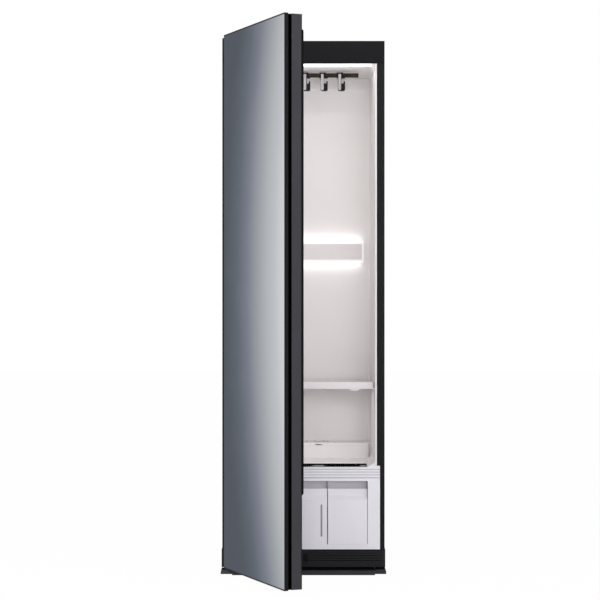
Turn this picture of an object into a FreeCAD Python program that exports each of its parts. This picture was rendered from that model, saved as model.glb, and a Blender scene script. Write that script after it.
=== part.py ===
import FreeCAD, Part
import math
import os

# Clothes care steam cabinet: a tall steel cabinet with a mirror door hinged on its left, an insulated
# compartment with a moving hanger rail, and a heat pump, a blower and a steam generator below it.
# Millimetres. X is to the right, Y runs into the cabinet from its front plane, Z is up from the floor.
# The door is modelled closed and then swung open by door_rest_angle about its hinge pins.

# ---------------------------------------------------------------- driving dimensions: cabinet
carcass_width = 595.0
carcass_depth = 525.0
carcass_top = 1950.5
steel_sheet = 1.0
jamb_width = 28.5
jamb_lip_depth = 14.0
header_height = 83.5
header_depth = 14.0
header_skin = 2.0
edge_radius = 1.0
liner_wall = 3.0
liner_rim_width = 7.0
liner_rim_depth = 8.0
compartment_depth = 470.0
sill_top = 393.0
sill_height = 46.0
sill_corner_radius = 24.0
ceiling_corner_radius = 12.0
back_corner_radius = 18.0
ceiling_rise = 1.0
vent_count = 8
vent_bottom = 160.0
vent_pitch = 16.0
vent_middle = 130.0
vent_length = 150.0
vent_height = 6.0

# ---------------------------------------------------------------- clearances shared by the pieces
face_gap = 0.3
sliding_gap = 1.5
shaft_gap = 0.05
shaft_room = 2.0
past = 1.0
tiny = 0.01

# ---------------------------------------------------------------- driving dimensions: base
plinth_height = 17.0
plinth_margin = 37.5
plinth_reach = 58.0
plinth_back = 20.0
plinth_skin = 3.0
plinth_rib = 20.0
plinth_pocket_count = 6
foot_cover_overhang = 2.3
foot_cover_reach = 29.0
base_top = 86.5
base_overhang = 2.5
base_skin = 4.0
kick_thickness = 4.0
kick_groove_count = 5
kick_groove_pitch = 9.15
kick_groove_height = 2.4
kick_groove_depth = 3.0
kick_groove_drop = 3.5
kick_groove_end = 8.0
plug_x = 9.0
plug_height = 57.0
plug_head_width = 15.0
plug_head_height = 33.0
plug_head_thickness = 5.5
plug_bevel = 1.2
plug_stem_radius = 5.9
plug_stem_length = 20.0
plug_surround = 2.0
foot_radius = 15.0
foot_stud_radius = 5.0
foot_pad_height = 8.0
foot_pad_bevel = 1.5
foot_boss_wall = 4.0
foot_inset = 30.0
foot_y = 45.0
foot_nut_height = 30.0
rear_pad_radius = 19.0
rear_pad_inset = 40.0
inlet_margin = 77.5
inlet_height = 130.0
inlet_bore_radius = 11.0
inlet_cable_radius = 4.5
inlet_flange_width = 5.0
inlet_flange_thickness = 3.0
inlet_reach = 12.0

# ---------------------------------------------------------------- driving dimensions: door
door_width = 595.0
door_bottom = 22.5
door_rise = 15.5
door_thickness = 65.5
door_standoff = 7.0
door_rest_angle = 67.75
glass_thickness = 4.0
glass_corner_radius = 1.0
trim_side_width = 1.5
trim_end_width = 5.0
front_frame_thickness = 14.0
front_frame_radius = 2.0
grip_width = 13.8
grip_depth = 28.0
grip_skin = 1.0
grip_end_gap = 1.0
grip_end_wall = 2.0
door_body_inset = 3.0
door_body_end_inset = 2.0
door_body_radius = 1.5
door_liner_thickness = 5.0
door_liner_recess = 3.0
door_liner_gap = 2.0
door_liner_bevel = 1.6
door_skin = 2.5
door_end_cap = 30.0
gasket_width = 17.0
gasket_side_inset = 6.0
gasket_sill_drop = 5.0
gasket_top_drop = 36.5
gasket_radius = 10.0
gasket_inner_radius = 5.0
pivot_from_side = 29.6
pivot_behind_glass = 12.0
hinge_plate_thickness = 4.0
hinge_plate_inset = 5.0
hinge_plate_front = 6.0
hinge_plate_back = 95.0
hinge_plate_radius = 5.0
hinge_plate_reach = 44.0
hinge_arm_reach = 40.0
hinge_arm_width = 24.0
hinge_arm_radius = 14.0
hinge_pocket_reach = 52.0
hinge_boss_radius = 7.0
hinge_pin_radius = 3.5
hinge_pin_length = 19.0
bush_radius = 6.0
bush_flange_radius = 8.0
bush_flange = 1.2
hinge_cover_skin = 2.0
hinge_cover_height = 10.5
hinge_cover_back = 102.0
hinge_cover_reach = 50.0
hinge_cover_radius = 3.0
hinge_cover_bevel = 1.5

# ---------------------------------------------------------------- driving dimensions: sill and tanks
sill_wall = 5.0
sill_edge_radius = 1.0
sill_groove_count = 4
sill_groove_pitch = 10.3
sill_groove_drop = 12.0
sill_groove_height = 2.0
sill_groove_depth = 2.0
intake_wall = 3.0
intake_margin = 27.0
intake_lip_drop = 5.5
channel_plate = 4.0
surround_margin = 16.8
surround_thickness = 3.0
window_margin = 45.1
window_bottom = 105.0
window_top = 337.0
window_radius = 2.5
bay_wall = 2.4
bay_depth = 250.0
module_share = 0.3744
module_gap = 1.5
divider_front = 24.0
tank_wall = 2.4
tank_face_set_back = 0.6
tank_back_gap = 8.0
tank_bevel_height = 267.0
tank_bevel = 15.0
tank_seam_rise = 2.0
tank_grip_height = 308.0
tank_grip_lip = 4.5
tank_grip_reach = 50.0
tank_grip_floor = 288.0
tank_lip_radius = 1.8
tank_well_radius = 8.0
tank_upstand = 4.0
tank_shoulder = 318.0
face_edge_radius = 1.2
cap_y = 150.0
cap_radius = 25.5
cap_thickness = 6.0
cap_flute_count = 8
cap_flute_radius = 3.5
cap_flute_depth = 2.0
neck_radius = 20.5
neck_height = 8.0
neck_plate_half = 25.0
level_window_inset = 22.2
level_window_width = 6.5
level_window_bottom = 133.0
level_window_top = 251.0

# ---------------------------------------------------------------- driving dimensions: compartment
shelf_height = 690.0
shelf_thickness = 13.7
shelf_skin = 3.0
shelf_columns = 4
shelf_lip_top = 698.0
shelf_lip_drop = 3.3
shelf_lip_thickness = 8.0
shelf_edge_radius = 2.5
shelf_front = 36.0
shelf_side_gap = 4.5
shelf_back_gap = 5.0
shelf_tab_inset = 70.0
shelf_tab_width = 31.0
shelf_tab_drop = 7.0
ledge_width = 9.0
ledge_thickness = 8.0
ledge_end_gap = 6.0
floor_thickness = 3.0
floor_front = 100.0
duct_cover_margin = 6.0
duct_cover_front = 340.0
duct_cover_height = 58.0
duct_cover_wall = 2.5
duct_cover_radius = 15.0
duct_cover_edge_radius = 2.0
air_slot_count = 9
air_slot_pitch = 16.0
air_slot_width = 6.0
air_slot_front_gap = 60.0
air_slot_back_gap = 14.0
nozzle_x = -150.0
nozzle_y = 430.0
nozzle_radius = 14.0
nozzle_height = 5.0
nozzle_bevel = 2.5
nozzle_bore_radius = 4.0
seam_inset = 16.0
seam_width = 1.0
seam_drop = 10.0
slit_middle = 58.5
slit_length = 27.0
slit_height = 3.8
slit_drop = 8.0
filter_side_gap = 1.5
filter_front = 60.0
filter_depth = 12.0
filter_height = 40.0
filter_rim = 4.0
filter_bar_pitch = 21.0
filter_bar_width = 1.6
filter_bar_inset = 2.0
filter_tab_height = 5.0
filter_lift_tab = 42.0
filter_end_tab = 22.0
lift_tab_share = 0.235
filter_guide_thickness = 3.0
filter_guide_reach = 4.0
filter_guide_drop = 8.0
light_margin = 32.0
light_bottom = 1158.0
light_top = 1220.0
light_plate_thickness = 4.0
light_glow_margin = 6.0
light_diffuser_depth = 9.0
lamp_depth = 23.0
lamp_height = 6.0
lamp_front = 5.0
back_band_drop = 22.0
back_band_height = 23.0
back_band_depth = 7.0

# ---------------------------------------------------------------- driving dimensions: hanger drive
rail_margin = 53.0
rail_height = 16.0
rail_depth = 20.0
rail_corner_radius = 5.0
rail_cap_length = 5.0
rail_flute_height = 4.0
rail_flute_depth = 1.0
rail_gap = 6.0
rail_y = 240.0
hook_count = 5
hook_pitch = 65.8
hook_width = 26.5
hook_corner_radius = 6.0
hook_plate_width = 12.2
hook_plate_gap = 1.0
hook_depth = 24.0
hook_drop = 50.5
hook_notch_width = 8.0
hook_notch_floor = 24.0
hook_lip_drop = 15.0
hook_face_thickness = 1.5
hook_face_margin = 0.9
hook_face_lift = 2.0
hook_face_radius = 4.5
hook_clip_wall = 2.5
hook_clip_left = 5.0
hook_clip_right = 7.0
arm_left = -30.0
arm_width = 22.0
arm_depth = 16.0
arm_corner_radius = 3.0
guide_rod_radius = 5.0
guide_rod_spacing = 64.0
guide_end_wall = 7.0
guide_half_length = 110.0
guide_end_thickness = 12.0
guide_plate_thickness = 3.0
guide_plate_gap = 1.0
carriage_height = 18.0
carriage_length = 74.0
carriage_rod_wall = 4.0
crank_radius = 20.0
crank_pin_radius = 4.0
crank_slot_gap = 0.6
crank_disc_radius = 26.0
crank_disc_thickness = 4.0
crank_disc_gap = 1.5
crank_hub_radius = 6.0
crank_hub_depth = 9.0
crank_swing = 35.0
yoke_height = 8.0
yoke_front_reach = 14.0
yoke_back_reach = 12.0
rod_rise = 17.0
gearbox_half_length = 30.0
gearbox_half_width = 28.0
gearbox_height = 25.0
gearbox_radius = 8.0
gearmotor_radius = 14.0
gearmotor_length = 46.0
control_margin = 47.5
control_width = 120.0
control_front = 150.0
control_back = 330.0
control_radius = 4.0
control_top_gap = 13.0
control_lid_thickness = 4.0
control_lid_inset = 2.0

# ---------------------------------------------------------------- driving dimensions: machine space
fan_x = -120.0
fan_y = 388.0
fan_radius = 70.0
fan_height = 50.0
fan_inlet_share = 0.78
fan_plate_thickness = 2.0
fan_rim_height = 4.0
fan_rim_width = 5.0
fan_blade_count = 20
fan_blade_depth = 14.0
fan_blade_thickness = 2.0
fan_hub_radius = 14.0
fan_hub_height = 22.0
fan_shaft_radius = 4.0
fan_shaft_drop = 50.0
fan_roof_gap = 12.0
scroll_gap = 14.0
scroll_growth = 9.0
scroll_wall = 2.5
scroll_floor_gap = 12.0
fan_motor_radius = 36.0
fan_motor_height = 48.0
fan_motor_flange_radius = 46.0
fan_motor_flange = 4.0
compressor_x = 130.0
compressor_y = 390.0
compressor_radius = 68.0
compressor_height = 190.0
compressor_dome = 26.0
compressor_dome_share = 0.62
compressor_shoulder = 6.0
compressor_skirt_width = 12.0
compressor_skirt_height = 14.0
compressor_foot_count = 3
compressor_foot_height = 10.0
compressor_foot_radius = 11.0
compressor_foot_inset = 18.0
compressor_port_radius = 5.0
compressor_port_spread = 24.0
compressor_port_root = 12.0
compressor_port_length = 34.0
coil_margin = 47.0
coil_depth = 56.0
coil_fin_count = 24
coil_fin_thickness = 2.0
coil_top_gap = 3.0
coil_front = 112.0
coil_spacing = 34.0
coil_pipe_radius = 4.0
coil_pipe_end = 8.0
coil_pipe_inset = 12.0
coil_pipe_lift = 11.0
coil_pipe_pitch = 20.0
pan_wall = 2.5
riser_x = 30.0
riser_half = 80.0
riser_front = 432.0
riser_back = 462.0
boiler_side_gap = 13.0
boiler_front = 74.0
boiler_back = 196.0
boiler_height = 96.0
boiler_radius = 14.0
boiler_flange_width = 5.0
boiler_flange_height = 70.0
boiler_flange_thickness = 7.0
boiler_outlet_radius = 8.0
boiler_outlet_rise = 39.0
boiler_collar_radius = 12.0
boiler_collar_rise = 9.0
terminal_inset = 30.0
terminal_width = 8.0
terminal_reach = 8.0
terminal_bottom = 20.0
terminal_height = 12.0
pump_inset = 20.0
pump_y = 224.0
pump_lift = 22.0
pump_radius = 17.0
pump_length = 58.0
pump_head_radius = 19.0
pump_head_length = 16.0
pump_base_inset = 6.0
pump_base_width = 24.0
pump_base_height = 12.0
pump_spout_radius = 4.0
pump_spout_height = 36.0

# ---------------------------------------------------------------- derived positions
carcass_side = carcass_width / 2
opening_side = carcass_side - jamb_width
liner_face = opening_side - liner_rim_width
header_bottom = carcass_top - header_height
ceiling_height = header_bottom - ceiling_rise
sill_bottom = sill_top - sill_height
floor_height = sill_top
base_side = carcass_side + base_overhang
plinth_half_width = carcass_side - plinth_margin
inlet_x = carcass_side - inlet_margin
tray_bottom = plinth_height + hinge_plate_thickness
tray_floor = tray_bottom + base_skin
door_side = door_width / 2
door_top = carcass_top + door_rise
door_back = -door_standoff
door_front = door_back - door_thickness
pivot = FreeCAD.Vector(-door_side + pivot_from_side, door_front + pivot_behind_glass, 0)
bush_seat = carcass_top - face_gap - bush_flange
gasket_bottom = sill_bottom - gasket_sill_drop
gasket_top = carcass_top - gasket_top_drop
door_liner_side = door_side - gasket_side_inset - gasket_width - door_liner_gap
door_liner_bottom = gasket_bottom + gasket_width + door_liner_gap
door_liner_top = gasket_top - gasket_width - door_liner_gap
surround_half_width = carcass_side - surround_margin
window_half_width = surround_half_width - window_margin
module_split = window_half_width * module_share
level_window_x = module_split - level_window_inset
intake_half_width = liner_face - intake_margin
duct_cover_half_width = liner_face - duct_cover_margin
light_half_width = liner_face - light_margin
back_band_top = ceiling_height - back_band_drop
back_band_bottom = back_band_top - back_band_height
bay_roof = window_top + bay_wall
back_inner = carcass_depth - steel_sheet
left_place = (-window_half_width + module_gap, -module_split - module_gap)
centre_place = (-module_split + module_gap, module_split - module_gap)
right_place = (module_split + module_gap, window_half_width - module_gap)
tank_back = bay_depth - tank_back_gap
tank_seam = tank_bevel_height + tank_bevel + tank_seam_rise
rail_half_length = liner_face - rail_margin
rail_top = ceiling_height - rail_gap
rail_bottom = rail_top - rail_height
arm_middle = arm_left + arm_width / 2
rail_stroke = crank_radius * math.sin(math.radians(crank_swing))
rod_height = ceiling_height + liner_wall + rod_rise
carriage_bottom = rod_height - carriage_height / 2
carriage_top = rod_height + carriage_height / 2
yoke_top = carriage_top + yoke_height
bridge_bottom = yoke_top + crank_disc_gap + crank_disc_thickness + guide_plate_gap
bridge_top = bridge_bottom + guide_plate_thickness
control_right = carcass_side - control_margin
control_left = control_right - control_width
coil_width = 2 * (liner_face - coil_margin)
fan_bottom = bay_roof - fan_roof_gap - fan_height
scroll_bottom = fan_bottom - scroll_floor_gap

UP = FreeCAD.Vector(0, 0, 1)
ALONG_X = FreeCAD.Vector(1, 0, 0)
ALONG_Y = FreeCAD.Vector(0, 1, 0)


# ---------------------------------------------------------------- shape helpers
def block(x0, x1, y0, y1, z0, z1):
    """A box between two corners."""
    return Part.makeBox(x1 - x0, y1 - y0, z1 - z0, FreeCAD.Vector(x0, y0, z0))


def disc(radius, centre, height, axis=UP):
    """A cylinder that starts at centre and runs along axis."""
    return Part.makeCylinder(radius, height, FreeCAD.Vector(*centre), axis)


def prism_along_x(points, x0, x1):
    """The outline of (y, z) points, carried from x0 to x1."""
    wire = Part.makePolygon([FreeCAD.Vector(x0, y, z) for y, z in points + points[:1]])
    return Part.Face(wire).extrude(ALONG_X * (x1 - x0))


def prism_along_y(points, y0, y1):
    """The outline of (x, z) points, carried from y0 to y1."""
    wire = Part.makePolygon([FreeCAD.Vector(x, y0, z) for x, z in points + points[:1]])
    return Part.Face(wire).extrude(ALONG_Y * (y1 - y0))


def joined(shapes):
    """One solid from shapes that meet or overlap."""
    shapes = list(shapes)
    return shapes[0].fuse(shapes[1:]).removeSplitter()


def without(shape, tools):
    """The shape less its tools."""
    return shape.cut(list(tools))


def group(shapes):
    """Separate solids kept in one node."""
    return Part.makeCompound(list(shapes))


def mirrored(shape):
    """The same piece on the other side of the cabinet."""
    return shape.mirror(FreeCAD.Vector(0, 0, 0), ALONG_X)


def parallel_edges(shape, axis, x=None, y=None, z=None):
    """Straight edges along axis, at the stated coordinates where one is given."""
    found = []
    for edge in shape.Edges:
        if not isinstance(edge.Curve, Part.Line):
            continue
        if edge.Curve.Direction.cross(axis).Length > tiny:
            continue
        centre = edge.BoundBox.Center
        wanted = ((x, centre.x), (y, centre.y), (z, centre.z))
        if all(want is None or abs(want - have) < tiny for want, have in wanted):
            found.append(edge)
    return found


def top_edges_of(shape):
    """The edges that lie in a shape's highest level."""
    return [edge for edge in shape.Edges if edge.BoundBox.ZMin > shape.BoundBox.ZMax - tiny]


def rounded(shape, radius, axis, x=None, y=None, z=None):
    """The shape with the chosen straight edges rounded."""
    return shape.makeFillet(radius, parallel_edges(shape, axis, x, y, z))


def bevelled_top(shape, size):
    """The shape with a bevel round its highest level."""
    return shape.makeChamfer(size, top_edges_of(shape))


def full_round(width):
    """The corner radius that rounds the ends of a slot of this width."""
    return width / 2 - 10 * tiny


def plate_xz(x0, x1, y0, y1, z0, z1, radius):
    """An upright plate facing the front, with rounded corners."""
    return rounded(block(x0, x1, y0, y1, z0, z1), radius, ALONG_Y)


def plate_xy(x0, x1, y0, y1, z0, z1, radius):
    """A level plate with rounded upright corners."""
    return rounded(block(x0, x1, y0, y1, z0, z1), radius, UP)


def opened(shape):
    """A door piece turned from closed to its rest angle about the hinge pins."""
    turned = shape.copy()
    turned.rotate(pivot, UP, -door_rest_angle)
    return turned


# ---------------------------------------------------------------- cabinet shell
def side_panel():
    """The left steel side with its folded front return, narrower beside the tank bay."""
    wall = block(-carcass_side, -carcass_side + steel_sheet, 0, back_inner, base_top, header_bottom)
    upper_wall = block(-carcass_side, -carcass_side + steel_sheet, header_depth, back_inner,
                       header_bottom, carcass_top - steel_sheet)
    returns = []
    upper_return = (opening_side, sill_top, header_bottom)
    lower_return = (surround_half_width, base_top, sill_top)
    for inner, z0, z1 in (upper_return, lower_return):
        returns.append(block(-carcass_side, -inner, 0, steel_sheet, z0, z1))
        returns.append(block(-inner - steel_sheet, -inner, 0, jamb_lip_depth, z0, z1))
    folded = joined([wall, upper_wall] + returns)
    outer_edge = parallel_edges(folded, UP, x=-carcass_side, y=0)
    return folded.makeFillet(edge_radius, outer_edge)


def top_panel():
    """The steel top, with a shallow pressed field that stiffens it."""
    sheet = block(-carcass_side, carcass_side, header_depth, back_inner,
                  carcass_top - steel_sheet, carcass_top)
    field_margin = 90.0
    field_rise = 1.5
    field_corner = 20.0
    field_slope = field_rise * 0.6
    field = plate_xy(-carcass_side + field_margin, carcass_side - field_margin, header_depth + field_margin,
                     back_inner - field_margin, carcass_top, carcass_top + field_rise, field_corner)
    return joined([sheet, bevelled_top(field, field_slope)])


def back_panel():
    """The steel back, with louvred vents over the machine space and a hole for the power inlet."""
    sheet = block(-carcass_side, carcass_side, back_inner, carcass_depth, tray_bottom, carcass_top)
    vents = []
    for side in (-1, 1):
        for row in range(vent_count):
            z = vent_bottom + row * vent_pitch
            x = side * vent_middle
            vents.append(plate_xz(x - vent_length / 2, x + vent_length / 2, back_inner - past,
                                  carcass_depth + past, z, z + vent_height, full_round(vent_height)))
    vents.append(disc(inlet_bore_radius, (inlet_x, back_inner - past, inlet_height),
                      steel_sheet + 2 * past, ALONG_Y))
    return without(sheet, vents)


def header_panel():
    """The hollow front rail above the compartment, with a fine line near its top and its bottom."""
    shell = block(-carcass_side, carcass_side, 0, header_depth, header_bottom, carcass_top)
    shell = rounded(shell, edge_radius, ALONG_X, y=0, z=carcass_top)
    hollow = block(-carcass_side + header_skin, carcass_side - header_skin, header_skin, header_depth,
                   header_bottom + header_skin, carcass_top - header_skin)
    line_height = 1.4
    line_inset = 4.2
    lines = [block(-carcass_side, carcass_side, 0, header_skin / 2, z, z + line_height)
             for z in (header_bottom + line_inset, carcass_top - line_inset)]
    return without(shell, [hollow] + lines)


def wall_insulation():
    """Foam between the steel and the liners: both sides, the back and the top."""
    outer = -carcass_side + steel_sheet
    inner = -liner_face - liner_wall
    side = block(outer, inner, jamb_lip_depth, back_inner, base_top, header_bottom)
    back = block(inner, -inner, compartment_depth + liner_wall, back_inner, sill_top, header_bottom)
    top = block(outer, -outer, header_depth, back_inner, ceiling_height + liner_wall,
                carcass_top - steel_sheet)
    drive_clearance = 4.0
    board_clearance = 2.0
    room_x = guide_half_length + guide_end_thickness / 2 + drive_clearance
    room_y = guide_spread() + 2 * drive_clearance
    drive_room = block(arm_middle - room_x, arm_middle + room_x, rail_y - room_y, rail_y + room_y,
                       ceiling_height, carcass_top)
    board_room = block(control_left - board_clearance, control_right + board_clearance,
                       control_front - board_clearance, control_back + board_clearance,
                       ceiling_height, carcass_top)
    return group([side, mirrored(side), back, without(top, [drive_room, board_room])])


def liner_side():
    """The left moulded wall: a rounded front rim, the shelf ledge and the round lower corner."""
    wall = block(-liner_face - liner_wall, -liner_face, 0, compartment_depth, sill_top, ceiling_height)
    rim = block(-opening_side, -liner_face, 0, liner_rim_depth, sill_top, header_bottom)
    body = joined([wall, rim])
    rim_edge = parallel_edges(body, UP, x=-liner_face, y=0)
    body = body.makeFillet(liner_rim_width * 0.7, rim_edge)
    ledge_top = shelf_height - shelf_thickness - face_gap
    ledge_front = shelf_front + shelf_lip_thickness + ledge_end_gap
    ledge = block(-liner_face, -liner_face + ledge_width, ledge_front, compartment_depth - ledge_end_gap,
                  ledge_top - ledge_thickness, ledge_top)
    ledge = rounded(ledge, ledge_thickness * 0.45, ALONG_Y, x=-liner_face + ledge_width)
    low = corner_fill(-liner_face, floor_height, sill_corner_radius, 1, 0, duct_cover_front - face_gap)
    high = corner_fill(-liner_face, ceiling_height, ceiling_corner_radius, -1, liner_rim_depth,
                       compartment_depth)
    radius = back_corner_radius
    square = block(-liner_face, -liner_face + radius, compartment_depth - radius, compartment_depth,
                   floor_height, ceiling_height)
    bore = disc(radius, (-liner_face + radius, compartment_depth - radius, floor_height - past),
                ceiling_height - floor_height + 2 * past)
    return joined([body, ledge, low, high, square.cut(bore)])


def corner_fill(x, z, radius, up, y0, y1):
    """The concave filling of a corner between the left wall and a level face."""
    square = block(x, x + radius, y0, y1, min(z, z + up * radius), max(z, z + up * radius))
    bore = disc(radius, (x + radius, y0 - past, z + up * radius), y1 - y0 + 2 * past, ALONG_Y)
    return square.cut(bore)


def liner_back():
    """The moulded back wall, with a low band near its top whose face leans back."""
    wall = block(-liner_face - liner_wall, liner_face + liner_wall, compartment_depth,
                 compartment_depth + liner_wall, sill_top, ceiling_height + liner_wall)
    band_side = liner_face - back_corner_radius
    band_front = compartment_depth - back_band_depth
    band = prism_along_x([(compartment_depth, back_band_bottom), (band_front, back_band_bottom + tiny),
                          (band_front, back_band_bottom + back_band_depth / 2),
                          (compartment_depth, back_band_top)], -band_side, band_side)
    return joined([wall, band])


def liner_ceiling():
    """The moulded ceiling with the slot that the hanger arm moves in."""
    plate = block(-liner_face - liner_wall, liner_face + liner_wall, 0, compartment_depth,
                  ceiling_height, ceiling_height + liner_wall)
    header_room = block(-carcass_side, carcass_side, -past, header_depth, header_bottom, carcass_top)
    rim_room = block(-carcass_side, -liner_face, -past, header_depth, ceiling_height - past, carcass_top)
    plate = without(plate, [header_room, rim_room, mirrored(rim_room)])
    slot_gap = 2.5
    slot_corner = 4.0
    slot = plate_xy(arm_left - rail_stroke - slot_gap, arm_left + arm_width + rail_stroke + slot_gap,
                    rail_y - arm_depth / 2 - slot_gap, rail_y + arm_depth / 2 + slot_gap,
                    ceiling_height - past, ceiling_height + liner_wall + past, slot_corner)
    return without(plate, [slot])


def ceiling_lamp():
    """The light strip's milky cover across the front of the ceiling."""
    side = liner_face - ceiling_corner_radius
    strip = block(-side, side, lamp_front, lamp_front + lamp_depth,
                  ceiling_height - lamp_height, ceiling_height)
    return rounded(strip, lamp_height * 0.45, ALONG_X, z=ceiling_height - lamp_height)


def back_light_diffuser():
    """The lit tray behind the back wall's cover plate."""
    corner = 4.0
    return plate_xz(-light_half_width - light_glow_margin, light_half_width + light_glow_margin,
                    compartment_depth - light_diffuser_depth, compartment_depth,
                    light_bottom - 2 * light_glow_margin, light_top + 2 * light_glow_margin, corner)


def back_light_plate():
    """The cover plate that the back light shines round."""
    back = compartment_depth - light_diffuser_depth
    corner = 3.0
    return plate_xz(-light_half_width, light_half_width, back - light_plate_thickness, back,
                    light_bottom, light_top, corner)


# ---------------------------------------------------------------- base
def plinth_plate():
    """The low moulding under the door that meets the floor, hollow between its ribs."""
    front = -plinth_reach
    body = block(-plinth_half_width, plinth_half_width, front, plinth_back, 0, plinth_height)
    body = rounded(body, plinth_skin * 0.8, ALONG_X, y=front, z=plinth_height)
    ledge_left = pivot.x + hinge_pocket_reach
    ledge = block(ledge_left, plinth_half_width, kick_thickness, plinth_back, plinth_height, tray_bottom)
    pockets = []
    span = 2 * plinth_half_width - 2 * plinth_skin
    pitch = (span + plinth_rib) / plinth_pocket_count
    for index in range(plinth_pocket_count):
        x0 = -plinth_half_width + plinth_skin + index * pitch
        pockets.append(block(x0, x0 + pitch - plinth_rib, front + plinth_skin, plinth_back - plinth_skin,
                             -past, plinth_height - plinth_skin))
    return without(joined([body, ledge]), pockets)


def foot_cover():
    """The right corner's cover, with a sloped outer end."""
    x0 = plinth_half_width + face_gap
    x1 = base_side + foot_cover_overhang
    slope = 2.5
    body = prism_along_y([(x0, 0), (x1, 0), (x1, plinth_height * 0.5), (x1 - slope, plinth_height),
                          (x0, plinth_height)], -foot_cover_reach, plinth_back)
    hollow = block(x0 + plinth_skin, x1 - slope - plinth_skin, -foot_cover_reach + plinth_skin,
                   plinth_back + past, -past, plinth_height - plinth_skin)
    return without(body, [hollow])


def base_tray():
    """The moulded base: floor, side skirts, ribs under the tank bay, and the nuts for the feet."""
    floor = block(-base_side, base_side, kick_thickness, back_inner, tray_bottom, tray_floor)
    skirt = block(-base_side, -base_side + base_skin, 0, back_inner, tray_bottom, base_top)
    skirt = rounded(skirt, edge_radius, UP, x=-base_side, y=0)
    rear = block(-base_side, base_side, back_inner - base_skin, back_inner, tray_bottom, base_top)
    ribs = []
    rib_count = 5
    rib_half = 1.5
    rib_front = 12.0
    for index in range(rib_count):
        x = -window_half_width + index * 2 * window_half_width / (rib_count - 1)
        ribs.append(block(x - rib_half, x + rib_half, rib_front, bay_depth, tray_floor,
                          window_bottom - bay_wall))
    bosses = []
    bores = []
    for side in (-1, 1):
        x = side * (carcass_side - foot_inset)
        bosses.append(disc(foot_stud_radius + foot_boss_wall, (x, foot_y, tray_bottom), foot_nut_height))
        bores.append(disc(foot_stud_radius + shaft_gap, (x, foot_y, tray_bottom - past),
                          foot_nut_height + 2 * past))
    return without(joined([floor, skirt, mirrored(skirt), rear] + ribs + bosses), bores)


def kick_grille():
    """The black panel across the bottom front, with level grooves beside the drain plug."""
    side = base_side - base_skin
    panel = block(-side, side, 0, kick_thickness, tray_bottom + face_gap, base_top - face_gap)
    grooves = []
    clear = plug_head_width / 2 + plug_surround
    for row in range(kick_groove_count):
        z = base_top - kick_groove_drop - row * kick_groove_pitch
        for x0, x1 in ((-side + kick_groove_end, plug_x - clear), (plug_x + clear, side - kick_groove_end)):
            grooves.append(block(x0, x1, -past, kick_groove_depth, z - kick_groove_height, z))
    bore = disc(plug_stem_radius + shaft_gap, (plug_x, -past, plug_height), kick_thickness + 2 * past,
                ALONG_Y)
    return without(panel, grooves + [bore])


def drain_plug():
    """The quarter-turn plug of the residual water drain."""
    half = plug_head_width / 2
    reach = plug_head_height / 2 - half
    y0 = -plug_head_thickness
    barrel = block(plug_x - half, plug_x + half, y0, -face_gap, plug_height - reach, plug_height + reach)
    ends = [disc(half, (plug_x, y0, plug_height + end * reach), plug_head_thickness - face_gap, ALONG_Y)
            for end in (-1, 1)]
    head = joined([barrel] + ends)
    front_edges = [edge for edge in head.Edges if edge.BoundBox.YMax < y0 + tiny]
    head = head.makeChamfer(plug_bevel, front_edges)
    stem = disc(plug_stem_radius, (plug_x, -face_gap - past, plug_height), plug_stem_length, ALONG_Y)
    return joined([head, stem])


def levelling_foot(side):
    """A round pad with its stud, standing in the base's nut."""
    x = side * (carcass_side - foot_inset)
    pad = bevelled_top(disc(foot_radius, (x, foot_y, 0), foot_pad_height), foot_pad_bevel)
    stud_height = tray_bottom + foot_nut_height - foot_pad_height
    stud = disc(foot_stud_radius, (x, foot_y, foot_pad_height - past), stud_height)
    return joined([pad, stud])


def rear_feet():
    """Two fixed pads under the back of the base."""
    pads = []
    for side in (-1, 1):
        x = side * (carcass_side - foot_inset)
        pads.append(disc(rear_pad_radius, (x, carcass_depth - rear_pad_inset, 0), tray_bottom))
    return pads


# ---------------------------------------------------------------- tank bay
def bay_surround():
    """The white frame round the tanks: a moulded U and the straight strip that closes its top."""
    side = surround_half_width - face_gap
    frame = block(-side, side, 0, surround_thickness, base_top, window_top)
    window = plate_xz(-window_half_width, window_half_width, -past, surround_thickness + past,
                      window_bottom, window_top, window_radius)
    strip = block(-side, side, 0, surround_thickness, window_top, sill_bottom - face_gap)
    return group([without(frame, [window]), strip])


def sill_grille():
    """The white sill above the tanks: fine level grooves in front, the lint filter's channel behind."""
    side = surround_half_width - face_gap
    wall = sill_wall
    front = block(-side, side, 0, wall, sill_bottom, sill_top)
    front = rounded(front, sill_edge_radius, ALONG_X, z=sill_top)
    lip_room = block(-intake_half_width, intake_half_width, -past, wall + past, sill_top - intake_lip_drop,
                     sill_top + past)
    web_thickness = 2.0
    back_web = block(-liner_face, liner_face, surround_thickness + face_gap, wall + web_thickness, bay_roof,
                     sill_top - intake_lip_drop - past)
    channel = block(-liner_face, liner_face, wall, floor_front, bay_roof, bay_roof + channel_plate)
    guide = filter_guide_thickness
    guide_places = (filter_front - guide - sliding_gap, filter_front + filter_depth + sliding_gap)
    ends = []
    for side_sign in (-1, 1):
        outer = side_sign * liner_face
        inner = side_sign * intake_half_width
        wall_end = inner + side_sign * intake_wall
        reach_end = inner - side_sign * filter_guide_reach
        ends.append(block(min(outer, inner), max(outer, inner), wall, floor_front,
                          sill_top - floor_thickness, sill_top))
        ends.append(block(min(wall_end, inner), max(wall_end, inner), wall, floor_front, bay_roof,
                          sill_top - floor_thickness / 2))
        for y0 in guide_places:
            ends.append(block(min(inner, reach_end), max(inner, reach_end), y0, y0 + guide, bay_roof,
                              sill_top - filter_guide_drop))
    grooves = []
    for row in range(sill_groove_count):
        z = sill_top - sill_groove_drop - row * sill_groove_pitch
        grooves.append(block(-side - past, side + past, -past, sill_groove_depth, z - sill_groove_height, z))
    return without(joined([front.cut(lip_room), back_web, channel] + ends), grooves)


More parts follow.
